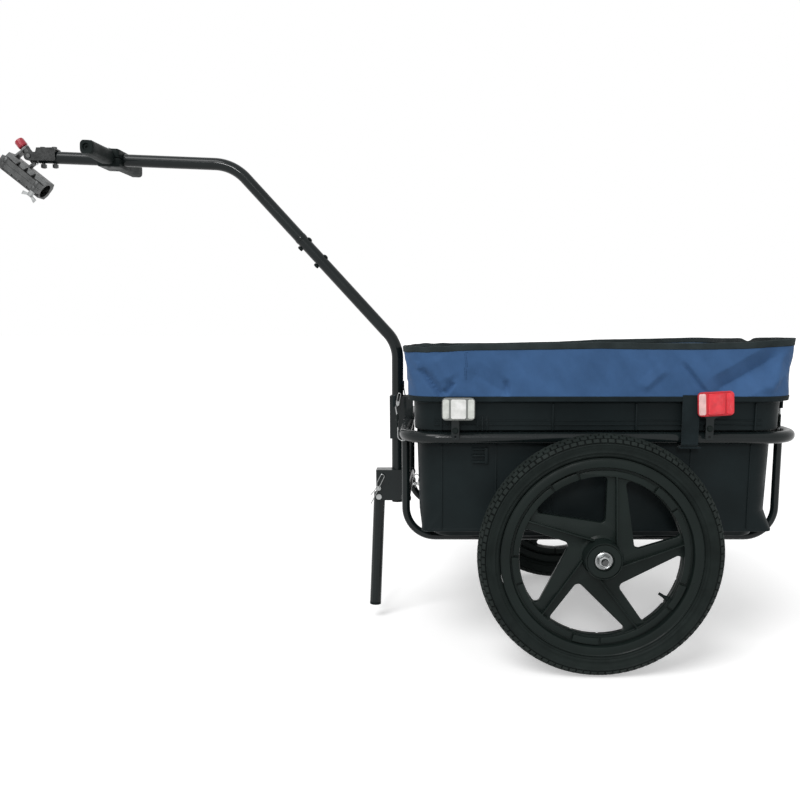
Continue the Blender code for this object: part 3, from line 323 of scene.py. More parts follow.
def cut(bm, *cutters):
    """The shape less its cutters."""
    tools = [show(as_object(cutter)) for cutter in cutters]
    made = with_modifiers(bm, *[("BOOLEAN", {"operation": "DIFFERENCE", "object": tool}) for tool in tools])
    for tool in tools:
        bpy.data.objects.remove(tool)
    return made


def thickening(thickness, **settings):
    """A modifier that thickens a skin inwards by a thickness in mm."""
    return "SOLIDIFY", {"thickness": thickness * MM, "offset": -1, **settings}


def block(low, high, edge=0):
    """A box between two corners. Edges are rounded by a width in mm, here and below."""
    low, high = Vector(low), Vector(high)
    bm = bmesh.new()
    bmesh.ops.create_cube(bm, size=1, matrix=Matrix.Translation((low + high) / 2) @
        Matrix.Diagonal((*(high - low), 1)))
    return rounded(bm, edge) if edge else bm


def rod(start, end, radius, sides=32, end_radius=None, place=Matrix(), edge=0):
    start, end = place @ Vector(start), place @ Vector(end)
    run = end - start
    where = Matrix.Translation((start + end) / 2) @ run.to_track_quat("Z", "Y").to_matrix().to_4x4()
    bm = bmesh.new()
    bmesh.ops.create_cone(bm, cap_ends=True, segments=sides, radius1=radius, matrix=where,
        radius2=end_radius or radius, depth=run.length)
    return rounded(bm, edge, 2, 50) if edge else bm


def curved(loops, closed, **settings):
    """The filled or tubular mesh of a curve through each loop's points."""
    curve = set_all(bpy.data.curves.new("curve", "CURVE"), settings)
    for loop in loops:
        spline = curve.splines.new("POLY")
        spline.points.add(len(loop) - 1)
        for held, p in zip(spline.points, loop):
            held.co = (*p, 1) if len(p) == 3 else (*p, 0, 1)
        spline.use_cyclic_u = closed
    return evaluated(bpy.data.objects.new("curve", curve))


def outline(points, low, high, place=SIDE_VIEW, edge=0, holes=()):
    """A flat outline with holes, given thickness along the placement's third axis."""
    edge *= MM
    bm = curved((points, *holes), True, dimensions="2D", fill_mode="BOTH", extrude=(high - low) / 2 - edge,
        bevel_depth=edge, offset=-edge, bevel_resolution=1)
    bm.transform(place @ Matrix.Translation((0, 0, (low + high) / 2)))
    return face_out(bm)


def pipe(path, radius, smoothness=8, closed=False):
    """A round tube or wire along a path."""
    return face_out(curved((path,), closed, dimensions="3D", bevel_depth=radius,
        bevel_resolution=smoothness, use_fill_caps=not closed))


def bend(points, radius, steps=12, closed=False):
    """A path with its corners replaced by arcs. A radius per corner may be given."""
    corners, path = [Vector(p) for p in points], []
    for i, corner in enumerate(corners):
        r = radius[i] if isinstance(radius, list) else radius
        if r == 0 or (not closed and i in (0, len(corners) - 1)):
            path.append(corner)
            continue
        back = (corners[i - 1] - corner).normalized()
        on = (corners[(i + 1) % len(corners)] - corner).normalized()
        half = back.angle(on) / 2
        centre = corner + (back + on).normalized() * (r / sin(half))
        first = corner + back * (r / tan(half)) - centre
        last = corner + on * (r / tan(half)) - centre
        axis = first.cross(last).normalized()
        for k in range(steps + 1):
            path.append(centre + Matrix.Rotation((pi - 2 * half) * k / steps, 3, axis) @ first)
    return path


def full_turn(count):
    return np.linspace(0, 2 * pi, count, endpoint=False)


def circle(centre, radius, count=24):
    return [(centre[0] + radius * cos(a), centre[1] + radius * sin(a)) for a in full_turn(count)]


def rounded_rect(half_x, half_y, radius, steps=6, centre=(0, 0)):
    x, y = centre
    corners = [(x - half_x, y - half_y, 0), (x + half_x, y - half_y, 0), (x + half_x, y + half_y, 0),
        (x - half_x, y + half_y, 0)]
    return [p[:2] for p in bend(corners, radius, steps, closed=True)]


def turned(profile, steps=64, place=Matrix()):
    """A closed profile of (radius, height) points turned about the placement's third axis."""
    mesh = bpy.data.meshes.new("profile")
    count = len(profile)
    mesh.from_pydata([(r, 0, z) for r, z in profile], [(i, (i + 1) % count) for i in range(count)], [])
    screw = {"steps": steps, "render_steps": steps, "use_merge_vertices": True, "merge_threshold": 1e-5}
    bm = evaluated(modify(bpy.data.objects.new("profile", mesh), ("SCREW", screw)))
    bm.transform(place)
    return face_out(bm)


def piece(name, bm, look, slot, *parts, body="frame", angle=35):
    """A finished piece, moved from the datum into the frame and set on its body."""
    bm.transform(Matrix.Translation((DATUM_X, 0, 0)))
    made = show(as_object(bm, name))
    made.data.materials.append(look)
    made.data.shade_smooth()
    made.data.set_sharp_from_angle(angle=radians(angle))
    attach(made, body)
    if parts:
        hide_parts(*parts)
    return made


def painted(name, bm, part):
    piece(name, bm, BLACK_PAINT, "black_paint", part)


def both_sides(make):
    """Makes the left and the right one."""
    for word, sign in (("left", -1), ("right", 1)):
        make(word, sign)


def placed(centre, out):
    """A placement at centre whose third axis is out."""
    out = Vector(out).normalized()
    side = out.orthogonal().normalized()
    return frame_at(Vector(centre), side, out.cross(side), out)


def bolt_head(centre, out, radius, height):
    """A chamfered hexagon head or nut that stands on centre, towards out."""
    centre, out = Vector(centre), Vector(out).normalized()
    top = centre + out * height
    return joined(rod(centre, top - out * height * 0.18, radius, 6),
        rod(top - out * height * 0.2, top, radius, 6, radius * 0.84))


def dome(centre, out, radius, height):
    """A round rivet or screw head."""
    arc = [(radius * cos(a), height * sin(a)) for a in np.linspace(0, pi / 2, 7)]
    return turned(arc[:-1] + [(0, height), (0, 0)], 24, placed(centre, out))


# Camera at the photograph's place
PHOTO_PIXELS, FOCAL_PIXELS, SENSOR = 800, 893, 36
AXIS_PIXEL_X, AXIS_PIXEL_Y, CAMERA_PITCH, CAMERA_YZ = 440, 455, 8.6, (-1.712, 0.585)
lens_settings = {"sensor_width": SENSOR, "lens": FOCAL_PIXELS * SENSOR / PHOTO_PIXELS,
    "shift_x": 0.5 - AXIS_PIXEL_X / PHOTO_PIXELS, "shift_y": AXIS_PIXEL_Y / PHOTO_PIXELS - 0.5}
camera = bpy.data.objects.new("camera", set_all(bpy.data.cameras.new("camera"), lens_settings))
camera.location = (DATUM_X, *CAMERA_YZ)
camera.rotation_euler = (radians(90 - CAMERA_PITCH), 0, 0)
bpy.context.scene.camera = show(camera)


# Frame tubes
def weld(centre, axis, radius, tube=1.6 * MM):
    """A bead of weld round a tube."""
    where = placed(centre, axis)
    ring = [where @ Vector((radius * cos(a), radius * sin(a), 0.5 * MM * sin(9 * a)))
        for a in full_turn(40)]
    return pipe(ring, tube, 2, closed=True)


ring_path = bend([(RING_FRONT, -RING_SIDE, RING_Z), (RING_REAR, -RING_SIDE, RING_Z),
    (RING_REAR, RING_SIDE, RING_Z), (RING_FRONT, RING_SIDE, RING_Z)], RING_BEND, 14, closed=True)
painted("ring_tube", pipe(ring_path, RING_R, 10, closed=True), "frame_ring_tube")


@both_sides
def make_u_tube(word, sign):
    y = sign * U_SIDE
    top = RING_Z - RING_R + 2 * MM
    path = bend([(U_FRONT, y, top), (U_FRONT, y, U_BOTTOM), (U_REAR, y, U_BOTTOM), (U_REAR, y, top)],
        U_BEND, 14)
    welds = [weld((x, y, RING_Z - RING_R - 0.6 * MM), Z, U_R + 0.6 * MM) for x in (U_FRONT, U_REAR)]
    welds.append(weld((U_FRONT, y - sign * (U_R + 0.5 * MM), CROSS_Z), Y, U_R + 0.4 * MM))
    painted(f"u_tube_{word}", joined(pipe(path, U_R, 7), *welds), f"frame_u_tube_{word}")


painted("front_cross_tube", pipe([(U_FRONT, -U_SIDE, CROSS_Z), (U_FRONT, U_SIDE, CROSS_Z)], U_R, 7),
    "frame_front_cross_tube")
axle_welds = [weld((WHEEL_X, sign * (U_SIDE + side * (U_R + MM)), WHEEL_Z), Y, AXLE_TUBE_R)
    for sign in (-1, 1) for side in (-1, 1)]
axle_tube = rod((WHEEL_X, -AXLE_TUBE_END, WHEEL_Z), (WHEEL_X, AXLE_TUBE_END, WHEEL_Z), AXLE_TUBE_R, 40,
    edge=0.8)
painted("axle_tube", joined(axle_tube, *axle_welds), "frame_axle_tube")


# Wheels
def wheel_place(sign):
    """Local z points outwards along the axle, so both wheels are the same piece turned round."""
    across = -X * sign
    return frame_at((WHEEL_X, sign * WHEEL_SIDE, WHEEL_Z), across, Z, across.cross(Z))


WINDOWS, WINDOW_IN, WINDOW_OUT, WINDOW_SPAN, WINDOW_AT, WINDOW_LEAN = 5, 0.056, 0.1335, 62, 84.3, 2.8
HUB_CORNER, RIM_CORNER = 8 * MM, 6.5 * MM
VALVE_AT = radians(-33)
VALVE = (0.148, 0.13, 4.4, 4.4, 0.8), (0.1305, 0.127, 3.4, 3.4, 0.5), (0.1275, 0.1165, 2.8, 2.4, 0.4)
WALL_LINES = (75, 1.3), (79, 1.5), (82, 0.5), (90, 0.0), (98, -0.2), (108, -0.7)  # angle and relief in mm
BEAD = mm((175.6, 20.6), (174.4, 21), (173.4, 19.6), (170.8, 18.6), (169.6, 19.2), (168.4, 18),
    (166.8, 16.6), (166, 15.2))
FLANGE_FACE = mm((134.2, 3), (134.2, 8.6), (135, 9.4), (148.8, 9.4), (149.5, 16.6), (150.4, 18.2),
    (152.2, 18.7), (160, 18.5), (163.2, 17.6), (165, 18.4), (165.5, 17.4), (165.5, 15), (164, 14.6),
    (155.3, 14.4))
HUB_FACE = mm((8.5, 30), (16.2, 30), (16.4, 34.4), (17, 35), (26.8, 35), (27.2, 32.4), (28.4, 32.4),
    (28.7, 34.7), (29.7, 34.7), (30.3, 33.6), (30.7, 16), (32.5, 8), (37, 5.3), (37, 0))
WASHER = mm((5.4, 0.2), (14.2, 0.2), (14.7, 0.8), (14.3, 1.8), (12.4, 2.5), (11.6, 2), (5.4, 2))
STRIP = (0.1347, 0.1446, 13.6 * MM)  # raised strip round the windows: inner and outer radius, height
TAB = (0.1352, 0.1466, 15.4 * MM)  # the part of it between two notches
NOTCHES, NOTCH_WIDE = (0.35, 0.68), radians(1.5)
FIN_START, FIN_END, FIN_HALF = Vector((0.0236, 0.0214, 0)), Vector((0.0204, 0.144, 0)), 1.2 * MM
FIN_FOOT, FIN_HUB_TOP, FIN_RIM_TOP = 4 * MM, 17 * MM, 13 * MM
CARCASS_R, CARCASS_TALL, CARCASS_WIDE = 0.1838, 16.6 * MM, 22.6 * MM
TREAD_COUNT, TREAD_DEEP, TREAD_ROWS = 100, 2.1 * MM, ((2, 20, 0.4), (24, 44, 0.41), (48, 68, 0.4))


def window_outline(number):
    """A rounded triangle between two spokes."""
    first = radians(WINDOW_AT + 360 / WINDOWS * number)
    turns = np.linspace(first + radians(WINDOW_LEAN), first + radians(WINDOW_SPAN), 18)
    arc = [Vector((WINDOW_OUT * cos(a), WINDOW_OUT * sin(a), 0)) for a in turns]
    hub = Vector((WINDOW_IN * cos(first), WINDOW_IN * sin(first), 0))
    path = bend([arc[-1], hub, arc[0]], [0, HUB_CORNER, 0], 8)[1:-1]
    path += bend([hub, arc[0], arc[3]], [0, RIM_CORNER, 0], 7)[1:-1] + arc[3:-3]
    path += bend([arc[-4], arc[-1], hub], [0, RIM_CORNER, 0], 7)[1:-1]
    return [p[:2] for p in path]


def ring_bar(first, last, inner, outer, top, place):
    """A bar of the raised strip between two angles, on both faces."""
    turns = np.linspace(first, last, 12)
    shape = [(inner * cos(a), inner * sin(a)) for a in turns]
    shape += [(outer * cos(a), outer * sin(a)) for a in reversed(turns)]
    return [outline(shape, *sorted((face * 5 * MM, face * top)), place, 0.7) for face in (-1, 1)]


def fin(place, face):
    """The tall thin rib along a spoke, highest at the hub."""
    along = (FIN_END - FIN_START).normalized()
    side = Vector((-along.y, along.x, 0)) * FIN_HALF
    ends = ((FIN_START - side, FIN_HUB_TOP), (FIN_END - side, FIN_RIM_TOP), (FIN_END + side, FIN_RIM_TOP),
        (FIN_START + side, FIN_HUB_TOP))
    bm = bmesh.new()
    rings = [[bm.verts.new(place @ Vector((p.x, p.y, face * (top if crest else FIN_FOOT))))
        for p, top in ends] for crest in (False, True)]
    return rounded(face_out(skin(bm, rings)), 0.7)


def rim_and_fins(place):
    made = []
    for number in range(WINDOWS):
        start = radians(WINDOW_AT + 360 / WINDOWS * number)
        near, far = (start + radians(WINDOW_SPAN) * share for share in NOTCHES)
        made += ring_bar(near + NOTCH_WIDE, far - NOTCH_WIDE, *TAB, place)
        made += ring_bar(far, near + 2 * pi / WINDOWS, *STRIP, place)
        turn = Matrix.Rotation(radians(360 / WINDOWS * number), 4, "Z")
        made += [fin(place @ turn, face) for face in (-1, 1)]
    return made


def mirrored(half):
    return half + [(r, -z) for r, z in reversed(half)]


def tyre_section(angle, rise=0.0):
    """A point (radius, side) of the carcass at an angle from the crown, raised square to it."""
    normal = Vector((CARCASS_WIDE * cos(angle), CARCASS_TALL * sin(angle))).normalized()
    return (CARCASS_R + CARCASS_TALL * cos(angle) + normal.x * rise,
        CARCASS_WIDE * sin(angle) + normal.y * rise)


def tread_block(bm, place, turn, half_turn, near, far):
    """One tread block between two angles of the section, its top smaller than its foot."""
    rings = []
    for shrink, rise in ((1.0, -0.5 * MM), (0.98, TREAD_DEEP - 0.5 * MM), (0.86, TREAD_DEEP)):
        middle, half = (near + far) / 2, (far - near) / 2 * shrink
        ring = []
        for section, along in ((middle - half, -1), (middle + half, -1), (middle + half, 1),
                (middle - half, 1)):
            r, z = tyre_section(section, rise)
            at = turn + along * half_turn * shrink
            ring.append(bm.verts.new(place @ Vector((r * cos(at), r * sin(at), z))))
        rings.append(ring)
    bm.faces.new(rings[-1])
    skin(bm, rings, caps=False)


def make_tyre(word, body, place):
    section = [tyre_section(a) for a in np.linspace(0, radians(72), 12)]
    section += [tyre_section(radians(a), rise * MM) for a, rise in WALL_LINES] + BEAD
    inner = mm((166, 10), (185, 17), (195.5, 8))
    profile = [(r, -z) for r, z in reversed(section[1:])] + section
    profile += inner + [(r, -z) for r, z in reversed(inner)]
    carcass = piece(f"{word}_tyre_carcass", turned(profile, 128, place), TYRE_RUBBER, "tyre",
        f"tyre_{word}", body=body)
    # Carcass faces under the tread band take the darker rubber: painted shade between the blocks.
    carcass.data.materials.append(TREAD_GROOVE_SHADE)
    hub = Vector((WHEEL_X + DATUM_X, 0, WHEEL_Z))
    groove_from = tyre_section(radians(71))[0]
    for face in carcass.data.polygons:
        reach = face.center - hub
        face.material_index = int(hypot(reach.x, reach.z) > groove_from)
    blocks, pitch = bmesh.new(), 2 * pi / TREAD_COUNT
    for number in range(TREAD_COUNT):
        for face in (-1, 1):
            for row, (near, far, wide) in enumerate(TREAD_ROWS):
                shift = pitch * (number + 0.5 * (row % 2) + (0.25 if face > 0 else 0))
                edges = sorted(radians(a) * face for a in (near, far))
                tread_block(blocks, place, shift, wide * pitch, *edges)
    bmesh.ops.recalc_face_normals(blocks, faces=blocks.faces)
    # The tread blocks take the lighter rubber: painted light on them.
    piece(f"{word}_tyre_tread", blocks, TREAD_BLOCK_LIT, "tyre", body=body, angle=20)


@both_sides
def make_wheel(word, sign):
    place, body = wheel_place(sign), f"{word}_wheel"
    windows = [window_outline(number) for number in range(WINDOWS)]
    disc = outline(circle((0, 0), 0.1392, 96), -5.5 * MM, 5.5 * MM, place, 1.6, windows)
    rim = turned(mirrored(FLANGE_FACE), 128, place)
    hub = turned(mirrored(HUB_FACE), 72, place)
    piece(f"{word}_wheel_moulding", joined(disc, rim, hub, *rim_and_fins(place)), WHEEL_PLASTIC,
        "wheel_plastic", f"wheel_{word}", body=body)
    make_tyre(word, body, place)
    valve_line = Vector((cos(VALVE_AT), sin(VALVE_AT), 0))
    stem = joined(*[rod(valve_line * start, valve_line * end, radius * MM, 20, tip * MM, place, edge)
        for start, end, radius, tip, edge in VALVE])
    piece(f"{word}_valve_stem", stem, GRIP_PLASTIC, "rubber", f"inner_tube_{word}", body=body)
    face = WHEEL_SIDE + 30 * MM
    washer = turned(WASHER, 48, place @ Matrix.Translation((0, 0, 30 * MM)))
    nut = bolt_head((WHEEL_X, sign * (face + 2.4 * MM), WHEEL_Z), Y * sign, 9.6 * MM, 7.6 * MM)
    piece(f"{word}_axle_nut", joined(washer, nut), ZINC, "zinc_steel", f"axle_nut_{word}")
    collar = turned(mm((4.95, 0), (6.1, 0), (6.1, 0.4), (4.95, 0.4)), 28,
        place @ Matrix.Translation((0, 0, 40 * MM)))
    piece(f"{word}_nut_insert", collar, GRIP_PLASTIC, "black_plastic")


# Tub
def loft(levels, steps):
    """A skin with a floor through rounded rectangles: front, rear, half width, height, corner radius."""
    bm, rings = bmesh.new(), []
    for front, rear, half, z, radius in levels:
        points = rounded_rect((rear - front) / 2, half, radius, steps, ((front + rear) / 2, 0))
        rings.append([bm.verts.new((x, y, z)) for x, y in points])
    bm.faces.new(list(reversed(rings[0])))
    return skin(bm, rings, caps=False)


TUB_WALL = mm((-8, 542, 204, 215.5, 30), (-9.5, 543.5, 205.5, 216.5, 30), (-13.4, 547.4, 209.4, 225.5, 30),
    (-15.5, 549.5, 211.5, 227.2, 28), (-30.5, 564.5, 227.5, 228.4, 13), (-31.5, 565.5, 228.5, 229.3, 12),
    (-31.5, 565.5, 228.5, 232.6, 12), (-30.7, 564.7, 227.8, 233.6, 13), (-35.6, 561.2, 228.1, 262, 45),
    (-39.5, 565, 230.9, 401.5, 45), (-40.4, 566, 232.2, 403.4, 45), (-42.1, 570, 244.6, 404.1, 45),
    (-42.8, 570.8, 245.8, 405.2, 45), (-43.9, 572.4, 247.4, 449, 45), (-44.4, 573, 248.1, 450.3, 45),
    (-47.8, 576.8, 251.9, 451.7, 45), (-48.9, 577.9, 252.9, 453, 45), (-49, 578, 253, 459.2, 45),
    (-48.6, 577.6, 252.5, 461, 45), (-47.1, 576.1, 250.9, 462, 44))
WALL_HEIGHTS = (0.2345, 0.262, TUB_LEDGE - 2 * MM)
WALL_HALF, WALL_FRONT = (0.2278, 0.2281, 0.231), (-0.0312, -0.0356, -0.0396)
WALL_REAR = (0.565, 0.5612, 0.5651)
RIB_HALF, RIB_PROUD = 1.2 * MM, 1.8 * MM
SIDE_RIBS, END_RIBS = (0.003, 0.094, 0.1895, 0.421, 0.521), (-0.12, -0.04, 0.04, 0.12)
COLLAR_RIBS, COLLAR_HALF, COLLAR_TOP = (0.002, 0.186, 0.323, 0.5195), (0.2459, 0.2474), 0.449
GUSSETS, CATCH_X, CATCH_Z = (0.0625, 0.07, 0.0775), 0.0536, 0.3475


def wall_rib(line, half, out, *proud):
    """A thin rib up a wall, along a line of points on the wall; half is its half width."""
    proud_at = np.linspace(proud[0], proud[-1], len(line))
    bm = bmesh.new()
    rings = [[bm.verts.new(v) for v in (p - half - out * MM, p + half - out * MM, p + half + out * high,
        p - half + out * high)] for p, high in zip(line, proud_at)]
    return rounded(face_out(skin(bm, rings)), 0.4, 2)


def side_ribs(sign):
    out = Y * sign
    made = [wall_rib([Vector((x, sign * y, z)) for y, z in zip(WALL_HALF, WALL_HEIGHTS)], X * RIB_HALF, out,
        RIB_PROUD) for x in SIDE_RIBS]
    collar = [(COLLAR_HALF[0], TUB_LEDGE + MM), (COLLAR_HALF[1], COLLAR_TOP)]
    made += [wall_rib([Vector((x, sign * y, z)) for y, z in collar], X * 1.4 * MM, out, 4 * MM)
        for x in COLLAR_RIBS]
    made += [wall_rib([Vector((x, sign * y, z)) for y, z in ((0.2459, 0.405), (0.2466, 0.429))],
        X * 0.9 * MM, out, 7.5 * MM, MM) for x in GUSSETS]
    low, high = sorted((sign * 0.2448, sign * 0.2478))
    return made + [block((-0.01, low, z), (0.532, high, z + 1.4 * MM), edge=0.4) for z in (0.413, 0.4205)]


def end_ribs(wall, out):
    return [wall_rib([Vector((x, y, z)) for x, z in zip(wall, WALL_HEIGHTS)], Y * RIB_HALF, out, RIB_PROUD)
        for y in END_RIBS]


def tub_catch(word, sign):
    """A moulded catch: an upright with three prongs."""
    near, far = sorted((sign * 0.2292, sign * 0.2355))
    bars = [block((CATCH_X, near, z), (CATCH_X + 23 * MM, far, z + 3.6 * MM), edge=0.9)
        for z in (CATCH_Z, CATCH_Z + 11 * MM, CATCH_Z + 22 * MM)]
    bars.append(block((CATCH_X + 21 * MM, near, CATCH_Z - MM),
        (CATCH_X + 27 * MM, far, CATCH_Z + 26.6 * MM), edge=1))
    piece(f"{word}_tub_catch", joined(*bars), TUB_PLASTIC, "black_plastic")


tub_skin = with_modifiers(loft(TUB_WALL, 10), thickening(3, use_even_offset=True))
piece("tub_shell", tub_skin, TUB_PLASTIC, "black_plastic", "cargo_tub", angle=28)
piece("tub_ribs", joined(*side_ribs(-1), *side_ribs(1), *end_ribs(WALL_FRONT, -X), *end_ribs(WALL_REAR, X)),
    TUB_PLASTIC, "black_plastic")
both_sides(tub_catch)


# Cover
COVER_FRONT, COVER_REAR, COVER_HALF, COVER_CORNER = -0.053, 0.5755, 0.259, 0.048
CLOTH_SPACING, CLOTH_LEVELS, FLAP, CREASE_DEPTH = 2.4 * MM, 40, 8 * MM, 2.4
STITCH, STITCH_PITCH = 2.2 * MM, 3.6 * MM
# x, and how much higher than level the top edge runs there, mm
NEAR_EDGE = ((-0.06, -6.7), (0, -5.4), (0.048, -1.9), (0.12, -1.1), (0.19, 0), (0.257, 1.6), (0.32, 0),
    (0.417, -0.5), (0.49, 1.0), (0.56, 5.5), (0.58, 7.5))
FAR_EDGE = ((-0.06, -16), (0, -14), (0.13, -13.4), (0.26, -10.5), (0.35, -6), (0.44, -4.4), (0.55, -1.8))
# x and z of the start and end, depth, width of the right and of the left flank, mm
CREASES = ((-34.1, 505.2, 1.1, 462.6, 3.6, 13, 3.6), (22.3, 483.8, 11, 466.8, 3, 3.6, 10),
    (106.6, 487.9, 109.9, 465.8, 1.6, 5, 5), (48.5, 501.8, 105, 469, 2, 22, 26),
    (-6.5, 527.9, 12.9, 492, -1.8, 22, 18), (-37.6, 520.9, -34.4, 508.3, -1.2, 6, 6),
    (394.2, 514.9, 429.7, 470.7, 2.4, 4, 6), (330, 474, 361.9, 503.4, -1.6, 16, 10),
    (558.4, 531.2, 457.2, 474, 6, 34, 26), (558.4, 531.2, 538, 472.4, -3, 14, 20))


def cover_loop(share):
    """Points and outward directions round the cover at a share of its height."""
    front, rear = COVER_FRONT - 0.0085 * share ** 2, COVER_REAR + 0.0085 * share
    half = COVER_HALF + 0.01 * share + 0.0015 * sin(pi * share)
    corners = rounded_rect((rear - front) / 2, half, COVER_CORNER, 16, ((front + rear) / 2, 0))
    points = []
    for start, end in zip(corners, corners[1:] + corners[:1]):
        run = np.subtract(end, start)
        between = round(0.52 / CLOTH_SPACING) if np.hypot(*run) > 0.02 else 1
        points += [np.add(start, run * k / between) for k in range(between)]
    points = np.array(points)
    tangent = np.roll(points, -1, axis=0) - np.roll(points, 1, axis=0)
    tangent /= np.linalg.norm(tangent, axis=1)[:, None]
    return points, np.column_stack([tangent[:, 1], -tangent[:, 0]])


def crease(x, z, from_x, from_z, to_x, to_z, deep, right, left):
    """Relief of a fold in the side view: a valley, or a ridge if deep is negative."""
    start, run = np.array((from_x, from_z)) * MM, np.array((to_x - from_x, to_z - from_z)) * MM
    length = np.hypot(*run)
    run = run / length
    along = ((x - start[0]) * run[0] + (z - start[1]) * run[1]) / length
    across = (x - start[0]) * -run[1] + (z - start[1]) * run[0]
    fade = np.clip((along + 0.1) / 0.25, 0, 1) * np.clip((1.15 - along) / 0.2, 0, 1)
    flank = np.clip(np.where(across > 0, 1 - across / (right * MM), 1 + across / (left * MM)), 0, 1)
    return -CREASE_DEPTH * deep * MM * fade * flank


def waves(bearing, arc, share, slack):
    """Soft folds all round the cover."""
    broad = 0.0016 * share * (np.sin(11 * bearing + 0.6) + 0.7 * np.sin(23 * bearing + 2.0 + 1.5 * share))
    middle = 0.0008 * slack * np.sin(arc * 2 * pi / 0.061 + 9 * share + 2 * np.sin(5 * bearing))
    return broad + middle + 0.0004 * slack * np.sin(arc * 2 * pi / 0.023 + 14 * share)


def edge_rise(x, y, arc):
    """How much higher than level the cover's top edge runs."""
    near, far = (np.interp(x, *zip(*edge)) * MM for edge in (NEAR_EDGE, FAR_EDGE))
    across = np.clip((y + COVER_HALF) / (2 * COVER_HALF), 0, 1)
    rise = near + (far - near) * across ** 2 * (3 - 2 * across)
    rise -= 5.9 * MM * np.exp(-((y + 0.005) / 0.028) ** 2) * (x > 0.5)
    return rise + 0.6 * MM * np.sin(arc * 2 * pi / 0.037) * np.exp(-((x + 0.03) / 0.06) ** 2)


def cover_ring(z, push):
    """Points round the cover at a height, before its top edge is bent, moved out by push."""
    share = (z - COVER_LOW) / (COVER_TOP - COVER_LOW)
    points, out = cover_loop(share)
    x, y = points.T
    arc = np.cumsum(np.hypot(*(points - np.roll(points, 1, axis=0)).T))
    slack = 4 * max(0.0, share * (1 - share))
    fold = waves(np.arctan2(y, x - 0.254), arc, share, slack)
    facing = np.clip(np.abs(out[:, 1]) * 1.4 - 0.2, 0, 1) * (0.5 + 0.5 * sqrt(slack))
    side_x = np.where(y < 0, x, 0.508 - x)
    for line in CREASES:
        fold += facing * crease(side_x, z, *line)
    fold += FLAP * exp(-(share / 0.28) ** 2) * np.clip(out[:, 0], 0, 1) ** 4
    spots = points + out * (push + fold)[:, None]
    return np.column_stack([spots, z + share ** 2 * edge_rise(x, y, arc)])


def cover_surface(z_low, z_high, levels, push):
    """The cloth's outer face between two heights."""
    bm = bmesh.new()
    rings = [[bm.verts.new(spot) for spot in cover_ring(z, push)]
        for z in np.linspace(z_low, z_high, levels)]
    return skin(bm, rings, caps=False)


cover = piece("cover_cloth", cover_surface(COVER_LOW + HEM - MM, COVER_HIGH + MM, CLOTH_LEVELS, 0.0),
    BLUE_CLOTH, "blue_fabric", "cover_wall", angle=60)
cover.data.materials.append(INNER_CLOTH)
modify(cover, thickening(0.8, material_offset=1, material_offset_rim=0))


def binding(name, z_low, z_high, look, parts):
    made = with_modifiers(cover_surface(z_low, z_high, 7, 0.9 * MM), thickening(3.2), rounding(0.9, 2, 50))
    return piece(name, made, look, "black_fabric", parts, angle=60)


def seam(*heights):
    """Rows of stitches round the cover."""
    bm = bmesh.new()
    for z in heights:
        ring = cover_ring(z, 1.15 * MM)
        gone = np.concatenate([[0], np.cumsum(np.linalg.norm(np.diff(ring, axis=0), axis=1))])
        for start in np.arange(0, gone[-1] - STITCH, STITCH_PITCH):
            ends = [Vector([np.interp(at, gone, column) for column in ring.T])
                for at in (start, start + STITCH)]
            stitch(bm, *ends, 0.45 * MM)
    return face_out(bm)


def stitch(bm, start, end, half):
    """A bar of square section with pointed ends."""
    along = (end - start).normalized()
    up = Z * half if abs(along.z) < 0.7 else X * half
    side = along.cross(up.normalized()) * half
    middle = (start + end) / 2
    ring = [bm.verts.new(middle + offset) for offset in (up, side, -up, -side)]
    tips = [bm.verts.new(start), bm.verts.new(end)]
    for i in range(4):
        bm.faces.new((tips[0], ring[i], ring[(i + 1) % 4]))
        bm.faces.new((tips[1], ring[(i + 1) % 4], ring[i]))


def upright_seam(x_places, z_low, z_high, pitch):
    """Columns of stitches up the near side, where two widths of cloth meet."""
    bm = bmesh.new()
    for z in np.arange(z_low, z_high, pitch):
        rings = [cover_ring(height, 0.35 * MM) for height in (z, z + 0.65 * pitch)]
        near = rings[0][:, 1] < -0.24
        for x in x_places:
            number = np.argmin(np.where(near, np.abs(rings[0][:, 0] - x), 1))
            stitch(bm, *(Vector(ring[number]) for ring in rings), 0.5 * MM)
    return face_out(bm)


# The top hem takes the lighter copy of the tape: painted light.
top_binding = binding("cover_top_binding", COVER_HIGH, COVER_TOP, TOP_TAPE_LIT, "cover_top_hem")
low_binding = binding("cover_bottom_binding", COVER_LOW, COVER_LOW + HEM, BLACK_TAPE, "cover_bottom_hem")
hem_seams = seam(COVER_LOW + HEM - 1.8 * MM, COVER_HIGH + 1.8 * MM)
piece("cover_hem_stitches", hem_seams, HEM_THREAD, "black_fabric")
piece("cover_side_stitches", upright_seam((0.0405, 0.043), 0.49, 0.536, 2.6 * MM), THREAD, "blue_fabric")


# Reflectors on brackets
def reflector(name, x, z, wide, tall, looks, slot, sign, lean, part):
    """A rimmed case with three panes; looks are those of the case and of the panes from left to right."""
    place = Matrix.Translation((x, sign * 0.27, z)) @ Matrix.Rotation(radians(-lean), 4, "Y")
    face = place @ frame_at(ORIGIN, -X * sign, Z, Y * sign)
    case, rim, gap = (rounded_rect(wide / 2 - inset * MM, tall / 2 - inset * MM, radius * MM)
        for inset, radius in ((0, 7), (0.8, 6.4), (2, 5.6)))
    case = joined(outline(case, -3.6 * MM, 1.6 * MM, face, 1), outline(rim, MM, 2.4 * MM, face, 0.5, [gap]))
    piece(name, case, looks[0], slot, part)
    spans = ((-0.5, -0.26, 2.6, "left"), (-0.25, 0.25, 3.6, "middle"), (0.26, 0.5, 2.6, "right"))
    for (low, high, proud, word), look in zip(spans, looks[1:]):
        half, centre = (high - low) * wide / 2 - 1.2 * MM, (low + high) * wide / 2 * -sign
        pane = rounded_rect(half, tall / 2 - 2.6 * MM, 3 * MM, 5, (centre, 0))
        piece(f"{name}_{word}_pane", outline(pane, 0, proud * MM, face, 0.8), look, slot)


